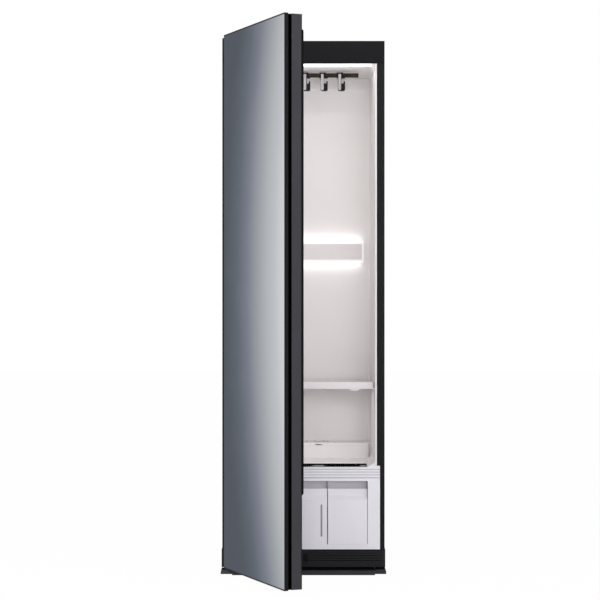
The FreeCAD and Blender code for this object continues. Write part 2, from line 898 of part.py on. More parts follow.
def bay_tray():
    """The open-fronted box that the tanks slide into, with a divider between the places."""
    x1 = window_half_width + bay_wall
    outer = block(-x1, x1, surround_thickness, bay_depth + bay_wall, window_bottom - bay_wall, bay_roof)
    inner = block(-window_half_width, window_half_width, surround_thickness - past, bay_depth,
                  window_bottom, window_top)
    dividers = []
    for side in (-1, 1):
        x = side * module_split
        dividers.append(block(x - module_gap / 2, x + module_gap / 2, divider_front, bay_depth,
                              window_bottom, window_top))
    return joined([outer.cut(inner)] + dividers)


def tank_bucket(x0, x1):
    """The lower part of a water tank: an open box whose flat face leans back in a bevel near its top."""
    face, back = tank_face_set_back, tank_back
    bottom = window_bottom + face_gap
    bevel_back = face + tank_bevel
    bevel_top = tank_bevel_height + tank_bevel
    wall = tank_wall
    corner = wall * 0.4
    outer = prism_along_x([(face, bottom), (face, tank_bevel_height), (bevel_back, bevel_top),
                           (bevel_back, tank_seam), (back, tank_seam), (back, bottom)], x0, x1)
    outer = rounded(outer, face_edge_radius, UP, y=face)
    hollow = prism_along_x([(face + wall, bottom + wall), (face + wall, tank_bevel_height - corner),
                            (bevel_back + wall, bevel_top - corner), (bevel_back + wall, tank_seam + past),
                            (back - wall, tank_seam + past), (back - wall, bottom + wall)],
                           x0 + wall, x1 - wall)
    return outer.cut(hollow)


def tank_lid(x0, x1):
    """The upper part of a water tank: the grip lip and finger well in front, a low hollow top behind."""
    front = tank_face_set_back + tank_bevel
    lip_back = front + tank_grip_lip
    well_back = tank_face_set_back + tank_grip_reach
    top = window_top - sliding_gap
    outer = prism_along_x([(front, tank_seam), (front, tank_grip_height), (lip_back, tank_grip_height),
                           (lip_back, tank_grip_floor), (well_back, tank_grip_floor), (well_back, top),
                           (well_back + tank_upstand, top), (well_back + tank_upstand, tank_shoulder),
                           (tank_back, tank_shoulder), (tank_back, tank_seam)], x0, x1)
    outer = rounded(outer, tank_lip_radius, ALONG_X, z=tank_grip_height)
    outer = rounded(outer, tank_well_radius, ALONG_X, y=well_back, z=tank_grip_floor)
    hollow = block(x0 + tank_wall, x1 - tank_wall, well_back + tank_upstand, tank_back - tank_wall,
                   tank_seam - past, tank_shoulder - tank_wall)
    return without(outer, [hollow, neck_plate(x0, x1, past)])


def neck_plate(x0, x1, rise=0.0):
    """The square plate in a tank's lid that carries the neck; rise takes its top above the lid."""
    x = (x0 + x1) / 2
    half = neck_plate_half
    return block(x - half, x + half, cap_y - half, cap_y + half, tank_shoulder - tank_wall,
                 tank_shoulder + rise)


def tank_neck(x0, x1):
    """The round filler neck on its square plate, let into a tank's lid."""
    x = (x0 + x1) / 2
    base = tank_shoulder - tank_wall
    tube = disc(neck_radius, (x, cap_y, base), tank_wall + neck_height)
    bore = disc(neck_radius - tank_wall, (x, cap_y, base - past), tank_wall + neck_height + 2 * past)
    return joined([neck_plate(x0, x1), tube]).cut(bore)


def tank_cap(x0, x1):
    """The screw cap over a tank's neck, with finger flutes round its rim."""
    x = (x0 + x1) / 2
    base = tank_shoulder + face_gap
    height = neck_height + cap_thickness
    outer = disc(cap_radius, (x, cap_y, base), height)
    hollow = disc(neck_radius + face_gap, (x, cap_y, base - past), neck_height + past + face_gap)
    flutes = []
    reach = cap_radius + cap_flute_radius - cap_flute_depth
    for index in range(cap_flute_count):
        angle = 2 * math.pi * index / cap_flute_count
        flutes.append(disc(cap_flute_radius,
                           (x + reach * math.cos(angle), cap_y + reach * math.sin(angle), base - past),
                           height + 2 * past))
    return without(outer, [hollow] + flutes)


def supply_tank():
    """The fresh water tank's lower part, with the slot for its level window."""
    return tank_bucket(*centre_place).cut(level_slot(tank_wall + past))


def level_slot(depth):
    """The upright slot form of the level window."""
    half = level_window_width / 2
    front = tank_face_set_back - past
    return plate_xz(level_window_x - half, level_window_x + half, front, front + depth + past,
                    level_window_bottom, level_window_top, full_round(level_window_width))


def level_window():
    """The clear strip that shows the water level, flush with the tank's face."""
    front = tank_face_set_back + face_gap / 3
    room = block(level_window_x - level_window_width, level_window_x + level_window_width, -tank_wall, front,
                 window_bottom, window_top)
    return level_slot(tank_wall).cut(room)


def drain_tank():
    """The waste water tank's lower part."""
    return tank_bucket(*right_place)


def service_cover():
    """The fixed front over the steam generator, shaped like a tank's front."""
    x0, x1 = left_place
    face = tank_face_set_back
    bottom = window_bottom + face_gap
    top = window_top - sliding_gap
    bevel_back = face + tank_bevel
    lip_back = bevel_back + tank_grip_lip
    well_back = face + tank_grip_reach
    back = well_back + tank_upstand
    outer = prism_along_x([(face, bottom), (face, tank_bevel_height),
                           (bevel_back, tank_bevel_height + tank_bevel), (bevel_back, tank_grip_height),
                           (lip_back, tank_grip_height), (lip_back, tank_grip_floor),
                           (well_back, tank_grip_floor), (well_back, top), (back, top),
                           (back, bottom)], x0, x1)
    outer = rounded(outer, tank_lip_radius, ALONG_X, z=tank_grip_height)
    outer = rounded(outer, tank_well_radius, ALONG_X, y=well_back, z=tank_grip_floor)
    outer = rounded(outer, face_edge_radius, UP, y=face)
    hollow = block(x0 + tank_wall, x1 - tank_wall, face + tank_wall, back + past, bottom + tank_wall,
                   tank_bevel_height - tank_wall)
    return outer.cut(hollow)


# ---------------------------------------------------------------- compartment
def riser_bore(z0, z1):
    """The clear way inside the riser between two heights."""
    return block(riser_x - riser_half + scroll_wall, riser_x + riser_half - scroll_wall,
                 riser_front + scroll_wall, riser_back - scroll_wall, z0, z1)


def compartment_floor():
    """The moulded floor over the air duct, with a rounded front edge over the intake."""
    plate = block(-liner_face, liner_face, floor_front, compartment_depth, floor_height - floor_thickness,
                  floor_height)
    plate = rounded(plate, floor_thickness * 0.4, ALONG_X, y=floor_front, z=floor_height)
    return without(plate, [riser_bore(floor_height - floor_thickness - past, floor_height + past)])


def duct_cover():
    """The raised cover across the back of the floor: air slots and the steam nozzle on its top."""
    side = duct_cover_half_width
    face = duct_cover_front
    back = compartment_depth - face_gap
    top = floor_height + duct_cover_height
    wall = duct_cover_wall
    shell = plate_xy(-side, side, face, back, floor_height, top, duct_cover_radius)
    shell = shell.makeFillet(duct_cover_edge_radius, top_edges_of(shell))
    hollow = block(-side + wall, side - wall, face + wall, back - wall, floor_height - past, top - wall)
    hollow = rounded(hollow, duct_cover_radius - wall, UP)
    slots = []
    for index in range(air_slot_count):
        x = riser_x + (index - (air_slot_count - 1) / 2) * air_slot_pitch
        slots.append(plate_xy(x - air_slot_width / 2, x + air_slot_width / 2, face + air_slot_front_gap,
                              back - air_slot_back_gap, top - wall - past, top + past,
                              full_round(air_slot_width)))
    nozzle = bevelled_top(disc(nozzle_radius, (nozzle_x, nozzle_y, top - past), nozzle_height + past),
                          nozzle_bevel)
    steam_bore = disc(nozzle_bore_radius, (nozzle_x, nozzle_y, top - wall - past),
                      wall + nozzle_height + 2 * past)
    seam_side = side - seam_inset
    seams = [block(x - seam_width / 2, x + seam_width / 2, face - past, face + seam_width,
                   floor_height + seam_drop / 2, top - seam_drop / 2) for x in (-seam_side, seam_side)]
    seams.append(block(-seam_side, seam_side, face - past, face + seam_width, top - seam_drop,
                       top - seam_drop + seam_width))
    slits = [plate_xz(x - slit_length / 2, x + slit_length / 2, face - past, face + wall + past,
                      top - slit_drop, top - slit_drop + slit_height, full_round(slit_height))
             for x in (-slit_middle, slit_middle)]
    return without(joined([without(shell, [hollow] + slots), nozzle]), [steam_bore] + seams + slits)


def lint_filter():
    """The lint filter that stands in the intake channel: a frame of fine bars with pull tabs on its top."""
    side = intake_half_width - filter_side_gap
    y0, y1 = filter_front, filter_front + filter_depth
    z0 = bay_roof + channel_plate + face_gap
    z1 = z0 + filter_height
    rim = filter_rim
    frame = block(-side, side, y0, y1, z0, z1)
    window = block(-side + rim, side - rim, y0 - past, y1 + past, z0 + rim, z1 - rim)
    bars = []
    count = int((2 * side - 2 * rim) / filter_bar_pitch)
    half = filter_bar_width / 2
    for index in range(count):
        x = (index - (count - 1) / 2) * filter_bar_pitch
        bars.append(block(x - half, x + half, y0 + filter_bar_inset, y1 - filter_bar_inset,
                          z0 + rim / 2, z1 - rim / 2))
    tabs = []
    end_middle = side - filter_end_tab / 2 - filter_bar_inset
    lift_middle = intake_half_width * lift_tab_share
    for x, width in ((-end_middle, filter_end_tab), (-lift_middle, filter_lift_tab),
                     (lift_middle, filter_lift_tab), (end_middle, filter_end_tab)):
        tabs.append(block(x - width / 2, x + width / 2, y0 + filter_bar_inset, y1 - filter_bar_inset,
                          z1 - past, z1 + filter_tab_height))
    return joined([frame.cut(window)] + bars + tabs)


def shelf():
    """The lift-out shelf: a ribbed tray with a raised front lip and two finger tabs."""
    side = liner_face - shelf_side_gap
    bottom = shelf_height - shelf_thickness
    back = compartment_depth - shelf_back_gap
    plate = block(-side, side, shelf_front, back, bottom, shelf_height)
    plate = rounded(plate, back_corner_radius - shelf_back_gap / 2, UP, y=back)
    skin = shelf_skin
    pitch = (2 * side - skin) / shelf_columns
    pockets_front = shelf_front + shelf_lip_thickness + skin / 2
    middle = (pockets_front + back) / 2
    pockets = []
    for index in range(shelf_columns):
        x0 = -side + skin + index * pitch
        for y0, y1 in ((pockets_front, middle - skin / 2), (middle + skin / 2, back - skin)):
            pockets.append(block(x0, x0 + pitch - skin, y0, y1, bottom - past, shelf_height - skin))
    tray = without(plate, pockets)
    lip_bottom = bottom - shelf_lip_drop
    lip = block(-side, side, shelf_front, shelf_front + shelf_lip_thickness, lip_bottom, shelf_lip_top)
    body = rounded(joined([tray, lip]), shelf_edge_radius, ALONG_X, z=shelf_lip_top)
    tab_middle = side - shelf_tab_inset
    tab_front = shelf_front + shelf_lip_thickness / 4
    tabs = [block(x - shelf_tab_width / 2, x + shelf_tab_width / 2, tab_front,
                  tab_front + shelf_lip_thickness / 2, lip_bottom - shelf_tab_drop, lip_bottom + past)
            for x in (-tab_middle, tab_middle)]
    return joined([body] + tabs)


# ---------------------------------------------------------------- moving hanger
def rail_section(x0, x1, grow=0.0):
    """The hanger rail's rounded section, from x0 to x1."""
    half = rail_depth / 2 + grow
    bar = block(x0, x1, rail_y - half, rail_y + half, rail_bottom - grow, rail_top + grow)
    return rounded(bar, rail_corner_radius + grow, ALONG_X)


def hanger_rail():
    """The rail with a flute along its front and a cap at each end."""
    inner = rail_half_length - rail_cap_length
    middle = (rail_bottom + rail_top) / 2
    flute = block(-rail_half_length, rail_half_length, rail_y - rail_depth,
                  rail_y - rail_depth / 2 + rail_flute_depth, middle - rail_flute_height / 2,
                  middle + rail_flute_height / 2)
    caps = [rail_section(-rail_half_length, -inner), rail_section(inner, rail_half_length)]
    return joined([rail_section(-inner, inner).cut(flute)] + caps)


def hook(index):
    """One hanger seat: a clip round the rail, a flat tongue and a U-shaped seat beside it."""
    x0 = (index - (hook_count - 1) / 2) * hook_pitch
    x1 = x0 + hook_width
    y0 = rail_y - hook_depth / 2
    y1 = rail_y + hook_depth / 2
    bottom = rail_bottom - hook_drop
    notch_top = rail_bottom - hook_clip_wall
    body = rounded(block(x0, x1, y0, y1, bottom, rail_bottom + past), hook_corner_radius, ALONG_Y, z=bottom)
    notch_radius = hook_notch_width / 2
    notch_left = x0 + hook_plate_width + hook_plate_gap
    notch_middle = notch_left + notch_radius
    seat = rail_bottom - hook_notch_floor + notch_radius
    notch = joined([disc(notch_radius, (notch_middle, y0 - past, seat), hook_depth + 2 * past, ALONG_Y),
                    block(notch_left, notch_left + hook_notch_width, y0 - past, y1 + past, seat, notch_top),
                    block(notch_middle, x1 + past, y0 - past, y1 + past, rail_bottom - hook_lip_drop,
                          notch_top)])
    clip_half = rail_depth / 2 + hook_clip_wall
    clip = block(x0 - hook_clip_left, x0 + hook_plate_width + hook_clip_right, rail_y - clip_half,
                 rail_y + clip_half, notch_top, rail_top + hook_clip_wall)
    clip = rounded(clip, rail_corner_radius, ALONG_X)
    return without(joined([body.cut(notch), clip]), [rail_section(x0 - hook_width, x1 + hook_width)])


def hook_face(index):
    """The pale cover on the front of a hook's tongue."""
    x0 = (index - (hook_count - 1) / 2) * hook_pitch
    front = rail_y - hook_depth / 2
    bottom = rail_bottom - hook_drop + hook_face_lift
    face = block(x0 + hook_face_margin, x0 + hook_plate_width - hook_face_margin,
                 front - hook_face_thickness, front, bottom, rail_bottom - hook_clip_wall)
    return rounded(face, hook_face_radius, ALONG_Y, z=bottom)


def hanger_carriage():
    """The block on the guide rods, its arm down to the rail, and the yoke slot for the crank pin."""
    arm = plate_xy(arm_left, arm_left + arm_width, rail_y - arm_depth / 2, rail_y + arm_depth / 2,
                   rail_top, carriage_bottom + past, arm_corner_radius)
    half_y = guide_rod_spacing / 2 + guide_rod_radius + carriage_rod_wall
    half_x = carriage_length / 2
    body = block(arm_middle - half_x, arm_middle + half_x, rail_y - half_y, rail_y + half_y,
                 carriage_bottom, carriage_top)
    pad_y = rail_y + crank_radius
    pad = block(arm_middle - yoke_front_reach, arm_middle + yoke_front_reach, pad_y - yoke_front_reach,
                pad_y + yoke_back_reach, carriage_top - past, yoke_top)
    bores = [guide_rod(side, guide_rod_radius + shaft_gap) for side in (-1, 1)]
    reach = crank_pin_radius + crank_slot_gap
    travel = crank_radius * (1 - math.cos(math.radians(crank_swing))) + crank_slot_gap
    slot = plate_xy(arm_middle - reach, arm_middle + reach, pad_y - reach - travel,
                    pad_y + reach + crank_slot_gap, carriage_top, yoke_top + past, full_round(2 * reach))
    return without(joined([arm, body, pad]), bores + [slot])


def guide_rod(side, radius):
    """A rod along the guide, in front of the rail's line for side -1 and behind it for 1."""
    y = rail_y + side * guide_rod_spacing / 2
    return disc(radius, (arm_middle - guide_half_length, y, rod_height), 2 * guide_half_length, ALONG_X)


def guide_spread():
    """Half the width of the guide's end blocks and bridge."""
    return guide_rod_spacing / 2 + guide_rod_radius + guide_end_wall


def hanger_guide():
    """The steel bridge above the ceiling, with the two rods that the carriage slides on."""
    half_y = guide_spread()
    half_x = guide_end_thickness / 2
    ends = []
    for side in (-1, 1):
        x = arm_middle + side * guide_half_length
        ends.append(block(x - half_x, x + half_x, rail_y - half_y, rail_y + half_y,
                          ceiling_height + liner_wall, bridge_bottom + past))
    rods = [guide_rod(side, guide_rod_radius) for side in (-1, 1)]
    bridge = block(arm_middle - guide_half_length - half_x, arm_middle + guide_half_length + half_x,
                   rail_y - half_y, rail_y + half_y, bridge_bottom, bridge_top)
    hole = disc(crank_hub_radius + shaft_room, (arm_middle, rail_y, bridge_bottom - past),
                guide_plate_thickness + 2 * past)
    return without(joined(ends + rods + [bridge]), [hole])


def hanger_crank():
    """The crank: a disc with its pin in the yoke slot and its hub in the gearbox."""
    disc_bottom = yoke_top + crank_disc_gap
    plate = disc(crank_disc_radius, (arm_middle, rail_y, disc_bottom), crank_disc_thickness)
    pin = disc(crank_pin_radius, (arm_middle, rail_y + crank_radius, carriage_top + crank_slot_gap),
               disc_bottom - carriage_top)
    hub = disc(crank_hub_radius, (arm_middle, rail_y, disc_bottom),
               bridge_top + crank_hub_depth - disc_bottom)
    return joined([plate, pin, hub])


def hanger_motor():
    """The gear motor that swings the crank to and fro, standing on the bridge."""
    gearbox = plate_xy(arm_middle - gearbox_half_length, arm_middle + gearbox_half_length,
                       rail_y - gearbox_half_width, rail_y + gearbox_half_width, bridge_top,
                       bridge_top + gearbox_height, gearbox_radius)
    bore = disc(crank_hub_radius + shaft_gap, (arm_middle, rail_y, bridge_top - past),
                crank_hub_depth + past + sliding_gap / 3)
    can_height = bridge_top + gearmotor_radius + past
    can = disc(gearmotor_radius, (arm_middle + gearbox_half_length - past, rail_y, can_height),
               gearmotor_length, ALONG_X)
    return without(joined([gearbox, can]), [bore])


def control_box():
    """The closed box of the control board, above the ceiling."""
    lid_top = carcass_top - control_top_gap
    lid_bottom = lid_top - control_lid_thickness
    inset = control_lid_inset
    box = plate_xy(control_left, control_right, control_front, control_back, ceiling_height + liner_wall,
                   lid_bottom + past, control_radius)
    lid = plate_xy(control_left + inset, control_right - inset, control_front + inset, control_back - inset,
                   lid_bottom, lid_top, control_radius)
    return joined([box, lid])


# ---------------------------------------------------------------- machine space
def duct_pan():
    """The drip tray and air duct under the floor, with the blower's inlet and the riser's chimney."""
    x1 = liner_face
    back = compartment_depth
    top = floor_height - floor_thickness
    outer = block(-x1, x1, floor_front, back, bay_roof, top)
    inner = block(-x1 + pan_wall, x1 - pan_wall, floor_front - past, back - pan_wall,
                  bay_roof + pan_wall, top + past)
    chimney = block(riser_x - riser_half, riser_x + riser_half, riser_front, riser_back, bay_roof, top)
    return without(joined([outer.cut(inner), chimney]),
                   [fan_inlet(bay_roof, pan_wall), riser_bore(bay_roof - past, top + past)])


def fan_inlet(z, thickness):
    """The round way for the air into the blower, through a wall that starts at z."""
    return disc(fan_radius * fan_inlet_share, (fan_x, fan_y, z - past), thickness + 2 * past)


def coil(y0):
    """A finned heat exchanger between two end plates, with the bends of its pipes."""
    half = coil_width / 2
    z0 = bay_roof + pan_wall
    z1 = floor_height - floor_thickness - coil_top_gap
    pitch = (coil_width - coil_fin_thickness) / (coil_fin_count - 1)
    fins = []
    for index in range(coil_fin_count):
        x = -half + index * pitch
        fins.append(block(x, x + coil_fin_thickness, y0, y0 + coil_depth, z0, z1))
    pipes = []
    for y in (y0 + coil_pipe_inset, y0 + coil_depth - coil_pipe_inset):
        for z in (z0 + coil_pipe_lift, z0 + coil_pipe_lift + coil_pipe_pitch):
            pipes.append(disc(coil_pipe_radius, (-half - coil_pipe_end, y, z),
                              coil_width + 2 * coil_pipe_end, ALONG_X))
    return joined(fins + pipes)


def heat_exchangers():
    """The evaporator in front and the condenser behind it."""
    return group([coil(coil_front), coil(coil_front + coil_depth + coil_spacing)])


def scroll_arcs():
    """Centre, radius and start angle of each quarter arc of the scroll, which opens towards +X."""
    arcs = []
    centre_x, centre_y = fan_x, fan_y
    radius = fan_radius + scroll_gap
    for turn in range(4):
        start = -90.0 * (turn + 1)
        arcs.append((centre_x, centre_y, radius, start))
        direction = math.radians(start - 90.0)
        centre_x -= scroll_growth * math.cos(direction)
        centre_y -= scroll_growth * math.sin(direction)
        radius += scroll_growth
    return arcs


def scroll(grow, z0, z1):
    """The scroll's solid between two heights, grown outwards by a wall."""
    edges = []
    points = []
    for centre_x, centre_y, radius, start in scroll_arcs():
        radius += grow
        place = []
        for angle in (start, start - 45.0, start - 90.0):
            place.append(FreeCAD.Vector(centre_x + radius * math.cos(math.radians(angle)),
                                        centre_y + radius * math.sin(math.radians(angle)), z0))
        edges.append(Part.Arc(*place).toShape())
        points += [place[0], place[2]]
    edges.append(Part.LineSegment(points[-1], points[0]).toShape())
    return Part.Face(Part.Wire(edges)).extrude(UP * (z1 - z0))


def blower_housing():
    """The scroll housing under the duct, with the riser that carries the air up to the outlet slots."""
    z0 = scroll_bottom
    wall = scroll_wall
    shell = scroll(wall, z0, bay_roof)
    hollow = scroll(0.0, z0 + wall, bay_roof - wall)
    riser = block(riser_x - riser_half, riser_x + riser_half, riser_front, riser_back, z0, bay_roof)
    bridge = block(fan_x, riser_x, riser_front, riser_back, z0, bay_roof)
    riser_hollow = riser_bore(z0 + wall, bay_roof + past)
    bridge_hollow = block(fan_x, riser_x, riser_front + wall, riser_back - wall, z0 + wall, bay_roof - wall)
    inlet = fan_inlet(bay_roof - wall, wall)
    shaft_hole = disc(fan_shaft_radius + shaft_room, (fan_x, fan_y, z0 - past), wall + 2 * past)
    return without(joined([shell, riser, bridge]), [hollow, riser_hollow, bridge_hollow, inlet, shaft_hole])


def blower_fan():
    """The bladed wheel: curved blades between a back plate and a rim, on its hub and shaft."""
    z0 = fan_bottom
    plate = fan_plate_thickness
    rim_bottom = z0 + fan_height - fan_rim_height
    back_plate = disc(fan_radius, (fan_x, fan_y, z0), plate)
    hub = disc(fan_hub_radius, (fan_x, fan_y, z0), fan_hub_height)
    rim = disc(fan_radius, (fan_x, fan_y, rim_bottom), fan_rim_height)
    rim_bore = disc(fan_radius - fan_rim_width, (fan_x, fan_y, rim_bottom - past), fan_rim_height + 2 * past)
    inner = fan_radius - fan_blade_depth
    bow = fan_blade_depth * 0.7
    blade_height = fan_height - plate
    centre = (inner + fan_blade_depth / 2, -bow * 0.55, 0)
    ring = disc(bow, centre, blade_height)
    ring = ring.cut(disc(bow - fan_blade_thickness, centre, blade_height))
    first = ring.common(block(inner, fan_radius - plate / 4, -bow * 0.2, bow, 0, blade_height))
    blades = []
    for index in range(fan_blade_count):
        blade = first.copy()
        blade.rotate(FreeCAD.Vector(0, 0, 0), UP, 360.0 * index / fan_blade_count)
        blade.translate(FreeCAD.Vector(fan_x, fan_y, z0 + plate / 2))
        blades.append(blade)
    shaft = disc(fan_shaft_radius, (fan_x, fan_y, z0 - fan_shaft_drop), fan_shaft_drop + plate)
    return joined([back_plate, hub, rim.cut(rim_bore), shaft] + blades)


def fan_motor():
    """The motor can bolted under the scroll."""
    flange_bottom = scroll_bottom - fan_motor_flange
    can = disc(fan_motor_radius, (fan_x, fan_y, flange_bottom - fan_motor_height), fan_motor_height + past)
    flange = disc(fan_motor_flange_radius, (fan_x, fan_y, flange_bottom), fan_motor_flange)
    bore = disc(fan_shaft_radius + shaft_gap, (fan_x, fan_y, scroll_bottom - fan_shaft_drop),
                fan_shaft_drop + past)
    return without(joined([can, flange]), [bore])


def compressor():
    """The heat pump's sealed compressor: a domed can on its rubber feet."""
    z0 = tray_floor + compressor_foot_height
    z1 = z0 + compressor_height
    radius = compressor_radius
    corners = [(0, z0), (radius - compressor_skirt_width, z0), (radius, z0 + compressor_skirt_height),
               (radius, z1 - compressor_dome), (radius * compressor_dome_share, z1 - compressor_shoulder),
               (0, z1), (0, z0)]
    outline = Part.makePolygon([FreeCAD.Vector(x, 0, z) for x, z in corners])
    can = Part.Face(outline).revolve(FreeCAD.Vector(0, 0, 0), UP, 360)
    can.translate(FreeCAD.Vector(compressor_x, compressor_y, 0))
    feet = []
    reach = radius - compressor_foot_inset
    for index in range(compressor_foot_count):
        angle = 2 * math.pi * (index + 0.25) / compressor_foot_count
        place = (compressor_x + reach * math.cos(angle), compressor_y + reach * math.sin(angle), tray_floor)
        feet.append(disc(compressor_foot_radius, place, compressor_foot_height + shaft_room))
    ports = [disc(compressor_port_radius,
                  (compressor_x + side * compressor_port_spread, compressor_y, z1 - compressor_port_root),
                  compressor_port_length) for side in (-1, 1)]
    return joined([can] + feet + ports)


def steam_generator():
    """The boiler behind the fixed cover: a case, a clamped lid and its steam outlet."""
    x0, x1 = left_place[0] + boiler_side_gap, left_place[1] - boiler_side_gap
    y0, y1 = boiler_front, boiler_back
    z0 = window_bottom
    top = z0 + boiler_height
    wide = boiler_flange_width
    centre = ((x0 + x1) / 2, (y0 + y1) / 2, top - past)
    case = plate_xy(x0, x1, y0, y1, z0, top, boiler_radius)
    flange = plate_xy(x0 - wide, x1 + wide, y0 - wide, y1 + wide, z0 + boiler_flange_height,
                      z0 + boiler_flange_height + boiler_flange_thickness, boiler_radius)
    outlet = disc(boiler_outlet_radius, centre, boiler_outlet_rise + past)
    collar = disc(boiler_collar_radius, centre, boiler_collar_rise + past)
    low = z0 + terminal_bottom
    terminals = [block(x - terminal_width / 2, x + terminal_width / 2, y0 - terminal_reach, y0 + past,
                       low, low + terminal_height) for x in (x0 + terminal_inset, x1 - terminal_inset)]
    return joined([case, flange, outlet, collar] + terminals)


def water_pump():
    """The small pump that feeds the steam generator."""
    x0 = left_place[0] + pump_inset
    head_x = x0 + pump_length
    y = pump_y
    z = window_bottom + pump_lift
    body = disc(pump_radius, (x0, y, z), pump_length, ALONG_X)
    head = disc(pump_head_radius, (head_x, y, z), pump_head_length, ALONG_X)
    base = block(x0 + pump_base_inset, head_x + pump_head_length - pump_base_inset, y - pump_base_width / 2,
                 y + pump_base_width / 2, window_bottom, window_bottom + pump_base_height)
    spout = disc(pump_spout_radius, (head_x + pump_head_length / 2, y, z), pump_spout_height)
    return joined([body, head, base, spout])


def power_inlet():
    """The gland in the back panel where the supply enters."""
    outer_end = carcass_depth + inlet_flange_thickness
    inner_end = back_inner - inlet_reach
    flange = disc(inlet_bore_radius + inlet_flange_width, (inlet_x, carcass_depth, inlet_height),
                  inlet_flange_thickness, ALONG_Y)
    collar_end = outer_end + 2 * inlet_flange_thickness
    body = disc(inlet_bore_radius - face_gap, (inlet_x, inner_end, inlet_height), collar_end - inner_end,
                ALONG_Y)
    bore = disc(inlet_cable_radius, (inlet_x, inner_end - past, inlet_height),
                collar_end - inner_end + 2 * past, ALONG_Y)
    return without(joined([flange, body]), [bore])


# ---------------------------------------------------------------- door and hinges
def hinge_plate(z0):
    """A hinge plate on the carcass whose curved arm reaches forward to the pin."""
    z1 = z0 + hinge_plate_thickness
    left = -carcass_side + hinge_plate_inset
    arm_right = pivot.x + hinge_arm_reach
    arm_left_edge = arm_right - hinge_arm_width
    arm_front = pivot.y - hinge_boss_radius
    base = plate_xy(left, pivot.x + hinge_plate_reach, hinge_plate_front, hinge_plate_back, z0, z1,
                    hinge_plate_radius)
    arm = block(arm_left_edge, arm_right, arm_front, 2 * hinge_plate_front, z0, z1)
    arm = rounded(arm, hinge_arm_radius, UP, x=arm_right, y=arm_front)
    finger = block(pivot.x, arm_left_edge + hinge_arm_width / 2, arm_front,
                   pivot.y + hinge_boss_radius, z0, z1)
    boss = disc(hinge_boss_radius, (pivot.x, pivot.y, z0), hinge_plate_thickness)
    return joined([base, arm, finger, boss])


def top_hinge():
    """The upper hinge plate with its pin down into the door."""
    pin = disc(hinge_pin_radius, (pivot.x, pivot.y, carcass_top - hinge_pin_length), hinge_pin_length + past)
    return joined([hinge_plate(carcass_top), pin])


def bottom_hinge():
    """The lower hinge plate with its pin up into the door."""
    plate = hinge_plate(plinth_height)
    pin = disc(hinge_pin_radius, (pivot.x, pivot.y, tray_bottom - past), hinge_pin_length + past)
    stud_place = (foot_inset - carcass_side, foot_y, plinth_height - past)
    stud_hole = disc(foot_stud_radius + shaft_room / 2, stud_place, hinge_plate_thickness + 2 * past)
    return without(joined([plate, pin]), [stud_hole])


def top_hinge_cover():
    """The moulded cover over the upper hinge plate, open where the arm leaves it."""
    z0 = carcass_top
    z1 = z0 + hinge_cover_height
    right = pivot.x + hinge_cover_reach
    skin = hinge_cover_skin
    shell = bevelled_top(plate_xy(-carcass_side, right, 0, hinge_cover_back, z0, z1, hinge_cover_radius),
                         hinge_cover_bevel)
    cavity = block(-carcass_side + skin, right - skin, skin, hinge_cover_back - skin, z0 - past, z1 - skin)
    mouth_right = pivot.x + hinge_arm_reach + shaft_room
    mouth = block(mouth_right - hinge_arm_width - 2 * shaft_room, mouth_right, -past, skin + past, z0 - past,
                  z0 + hinge_plate_thickness + past)
    return without(shell, [cavity, mouth])


def hinge_pocket():
    """The room behind the glass in which the upper hinge arm moves."""
    return block(-door_side - past, pivot.x + hinge_pocket_reach, door_front + glass_thickness,
                 door_back + past, bush_seat, door_top + past)


def bush_holes():
    """The bores for the two hinge bushes."""
    upper = disc(bush_radius, (pivot.x, pivot.y, bush_seat - hinge_pin_length), hinge_pin_length + past)
    lower = disc(bush_radius, (pivot.x, pivot.y, door_bottom - past), hinge_pin_length + past)
    return [upper, lower]


def door_front_frame():
    """The dark tray that holds the mirror, standing proud round it as a thin trim."""
    outer = plate_xz(-door_side, door_side, door_front, door_front + front_frame_thickness,
                     door_bottom, door_top, front_frame_radius)
    seat = block(-door_side + trim_side_width, door_side - trim_side_width, door_front - past,
                 door_front + glass_thickness, door_bottom + trim_end_width, door_top - trim_end_width)
    return without(outer, [seat, hinge_pocket()] + bush_holes())


def door_mirror():
    """The tinted mirror pane."""
    return plate_xz(-door_side + trim_side_width, door_side - trim_side_width, door_front,
                    door_front + glass_thickness, door_bottom + trim_end_width, door_top - trim_end_width,
                    glass_corner_radius)


def door_section(inset, z0, z1, back):
    """The door's body in plan, cut back for the grip channel, drawn in by inset."""
    side = door_side - door_body_inset - inset
    front = door_front + front_frame_thickness
    shoulder = front + grip_width
    front_part = block(-side, side - grip_depth, front, shoulder + inset, z0, z1)
    return joined([front_part, block(-side, side, shoulder + inset, back, z0, z1)])


def door_body():
    """The door's moulded casing, open towards the mirror frame, with solid ends that take the hinges."""
    z0 = door_bottom + door_body_end_inset
    z1 = door_top - door_body_end_inset
    outer = rounded(door_section(0.0, z0, z1, door_back), door_body_radius, UP, y=door_back)
    recess = block(-door_liner_side, door_liner_side, door_back - door_liner_recess, door_back + past,
                   door_liner_bottom, door_liner_top)
    return without(outer, [recess, door_foam(), hinge_pocket()] + bush_holes())


def door_foam():
    """The foam core that fills the casing between its ends."""
    z0 = door_bottom + door_body_end_inset + door_end_cap
    z1 = bush_seat - door_end_cap
    return door_section(door_skin, z0, z1, door_back - door_liner_recess - door_skin)


def door_grip_channel():
    """The black channel along the free edge that the fingers pull on."""
    side = door_side - door_body_inset
    z0 = door_bottom + door_body_end_inset + grip_end_gap
    z1 = door_top - door_body_end_inset - grip_end_gap
    front = door_front + front_frame_thickness
    outer = block(side - grip_depth, side - grip_end_gap, front, front + grip_width, z0, z1)
    hollow = block(side - grip_depth + grip_skin, side + past, front + grip_skin,
                   front + grip_width - grip_skin, z0 + grip_end_wall, z1 - grip_end_wall)
    return outer.cut(hollow)


